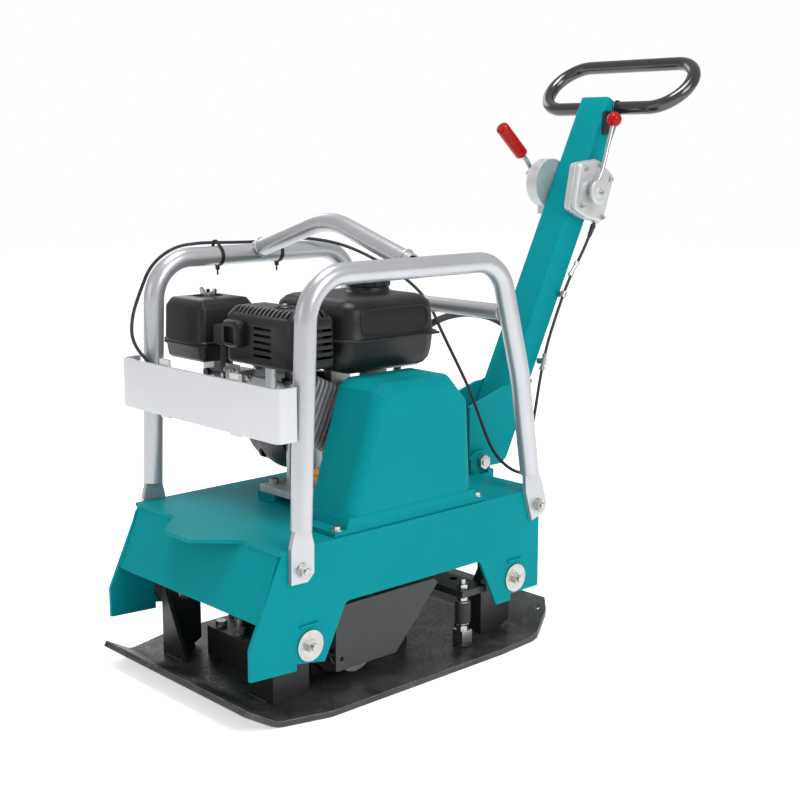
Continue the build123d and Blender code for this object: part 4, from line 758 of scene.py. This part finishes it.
# ---- drive belt -------------------------------------------------------------------------------
def belt_path(first, second):
    """Points and outward directions round two pulleys given as (y, z, radius), as a closed path."""
    centres = (Vector(first[:2]), Vector(second[:2]))
    line = centres[1] - centres[0]
    heading = math.atan2(line.y, line.x)
    lean = math.acos((first[2] - second[2]) / line.length)
    path = []
    for step in range(33):
        angle = heading + lean + (2 * math.pi - 2 * lean) * step / 32
        path.append((centres[0], first[2], angle))
    for step in range(25):
        angle = heading - lean + 2 * lean * step / 24
        path.append((centres[1], second[2], angle))
    points = []
    for centre, radius, angle in path:
        out = Vector((math.cos(angle), math.sin(angle)))
        points.append((centre + radius * out, out))
    dense = []
    for index, (point, out) in enumerate(points):
        after, after_out = points[(index + 1) % len(points)]
        parts = max(1, round((after - point).length / 12))
        for part in range(parts):
            dense.append((point.lerp(after, part / parts), out.lerp(after_out, part / parts).normalized()))
    return dense


BELT_SECTION = [(-6.4, 1.6), (6.4, 1.6), (6.4, 0.4), (5.2, -5.6), (-5.2, -5.6), (-6.4, 0.4)]
BELT_X = 150
belt_points = []
belt_run = belt_path((*CRANK, 45), (*EXCITER_SHAFT, 36))
for point, out in belt_run:
    for across_belt, depth in BELT_SECTION:
        place = point + depth * out
        belt_points.append((BELT_X + across_belt, place.x, place.y))
sides = len(BELT_SECTION)
belt_faces = []
for index in range(len(belt_run)):
    here, there = index * sides, (index + 1) % len(belt_run) * sides
    for side in range(sides):
        beside = (side + 1) % sides
        belt_faces.append((here + side, here + beside, there + beside, there + side))
belt = mesh_object("drive_belt_loop", belt_points, belt_faces)
finish_piece(belt, None, "rubber_black", ("drive_belt",))
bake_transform(belt)

# ---- cords ------------------------------------------------------------------------------------
CABLE_ROUTE = [
    (50, 641, 722), (50, 622, 688), (50, 597, 652), (49, 570, 617), (48, 540, 558), (48, 510, 494),
    (48, 492, 430), (50, 478, 372), (50, 469, 334.7), (66, 440, 306), (102, 400, 289), (140, 357, 286),
    (162, 318, 290), (152, 290, 304), (120, 284, 330), (90, 286, 378), (66, 282, 432), (40, 268, 490),
    (14, 258, 540), (-22, 262, 588), (-62, 256, 622), (-108, 232, 654), (-158, 192, 686), (-186, 140, 702),
    (-206, 84, 706), (-215, 22, 701), (-213, -44, 703), (-208, -110, 706), (-218, -158, 701),
    (-229, -198, 672), (-233, -218, 628), (-230, -238, 586), (-214, -250, 548), (-192, -238, 516),
    (-168, -214, 496), (-146, -182, 486),
]
HOSE_ROUTE = [
    (0, 445.5, 531.6), (0, 412, 548.7), (0, 372, 560), (-2, 326, 566), (-8, 276, 560), (-22, 232, 536),
    (-42, 208, 492), (-58, 204, 436), (-64, 206, 376), (-62, 210, 318), (-58, 208, 262), (-52, 190, 210),
    (-44, 156, 164), (-38, 116, 126), (-36, 82, 96), (-36, 50, 84),
]
cable = as_mesh(cord_object("throttle_cable_full", CABLE_ROUTE, 0.0029))
finish_piece(cable, None, "rubber_black", ("throttle_cable_drawbar", "throttle_cable_deck"))
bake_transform(cable)
hose = as_mesh(cord_object("shift_hose_full", HOSE_ROUTE, 0.0065))
finish_piece(hose, None, "rubber_black", ("shift_hose",))
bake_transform(hose)


# ---- light, floor and camera ------------------------------------------------------------------
def area_light(name, place, target, size, power):
    """A rectangular lamp turned to its target."""
    lamp = bpy.data.lights.new(name, "AREA")
    lamp.shape = "RECTANGLE"
    lamp.size, lamp.size_y = size
    lamp.energy = power
    holder = bpy.data.objects.new(name, lamp)
    holder.location = place
    holder.rotation_euler = (Vector(target) - Vector(place)).to_track_quat("-Z", "Y").to_euler()
    bpy.context.scene.collection.objects.link(holder)


area_light("key", (3.0, 0.2, 2.2), (0, 0, 0.5), (1.6, 1.6), 47)
area_light("front_fill", (-0.6, -3.2, 1.6), (0, 0, 0.4), (2.0, 1.4), 9)
area_light("far_fill", (-2.8, 0.8, 2.0), (0, 0, 0.5), (1.6, 1.6), 16)
area_light("top", (0.1, -0.1, 3.2), (0, 0, 0.4), (1.1, 1.1), 50)

world = bpy.data.worlds.new("studio")
world.use_nodes = True
background = world.node_tree.nodes["Background"]
background.inputs[0].default_value = (1.0, 1.0, 1.0, 1.0)
seen = world.node_tree.nodes.new("ShaderNodeLightPath")
strength = world.node_tree.nodes.new("ShaderNodeMapRange")
strength.inputs["To Min"].default_value = 0.55
strength.inputs["To Max"].default_value = 1.0
world.node_tree.links.new(seen.outputs["Is Camera Ray"], strength.inputs["Value"])
world.node_tree.links.new(strength.outputs[0], background.inputs[1])
bpy.context.scene.world = world
bpy.context.scene.view_settings.view_transform = "Standard"

floor_mesh = bpy.data.meshes.new("floor")
floor_mesh.from_pydata([(-9, -9, 0), (9, -9, 0), (9, 9, 0), (-9, 9, 0)], [], [(0, 1, 2, 3)])
floor = bpy.data.objects.new("floor", floor_mesh)
floor.location = (0, 0, -0.0006)
bpy.context.scene.collection.objects.link(floor)
floor_look = bpy.data.materials.new("floor_look")
floor_look.use_nodes = True
floor_shader = floor_look.node_tree.nodes["Principled BSDF"]
floor_shader.inputs["Base Color"].default_value = (0.92, 0.92, 0.92, 1)
floor_shader.inputs["Roughness"].default_value = 0.85
floor_shader.inputs["Emission Color"].default_value = (1, 1, 1, 1)
floor_shader.inputs["Emission Strength"].default_value = 0.55
floor_mesh.materials.append(floor_look)

camera_data = bpy.data.cameras.new("camera")
camera_data.sensor_width = 36.0
camera_data.lens = 60.875
camera_data.shift_x = 0.0003
camera_data.shift_y = -0.0111
camera = bpy.data.objects.new("camera", camera_data)
bpy.context.scene.collection.objects.link(camera)
back = Vector((0.722453, -0.668101, 0.178053)).normalized()
right = Vector(UP).cross(back).normalized()
up = back.cross(right)
turn = Matrix((right, up, back)).transposed().to_4x4()
camera.matrix_world = Matrix.Translation((1.75165, -1.45187, 0.86991)) @ turn
bpy.context.scene.camera = camera
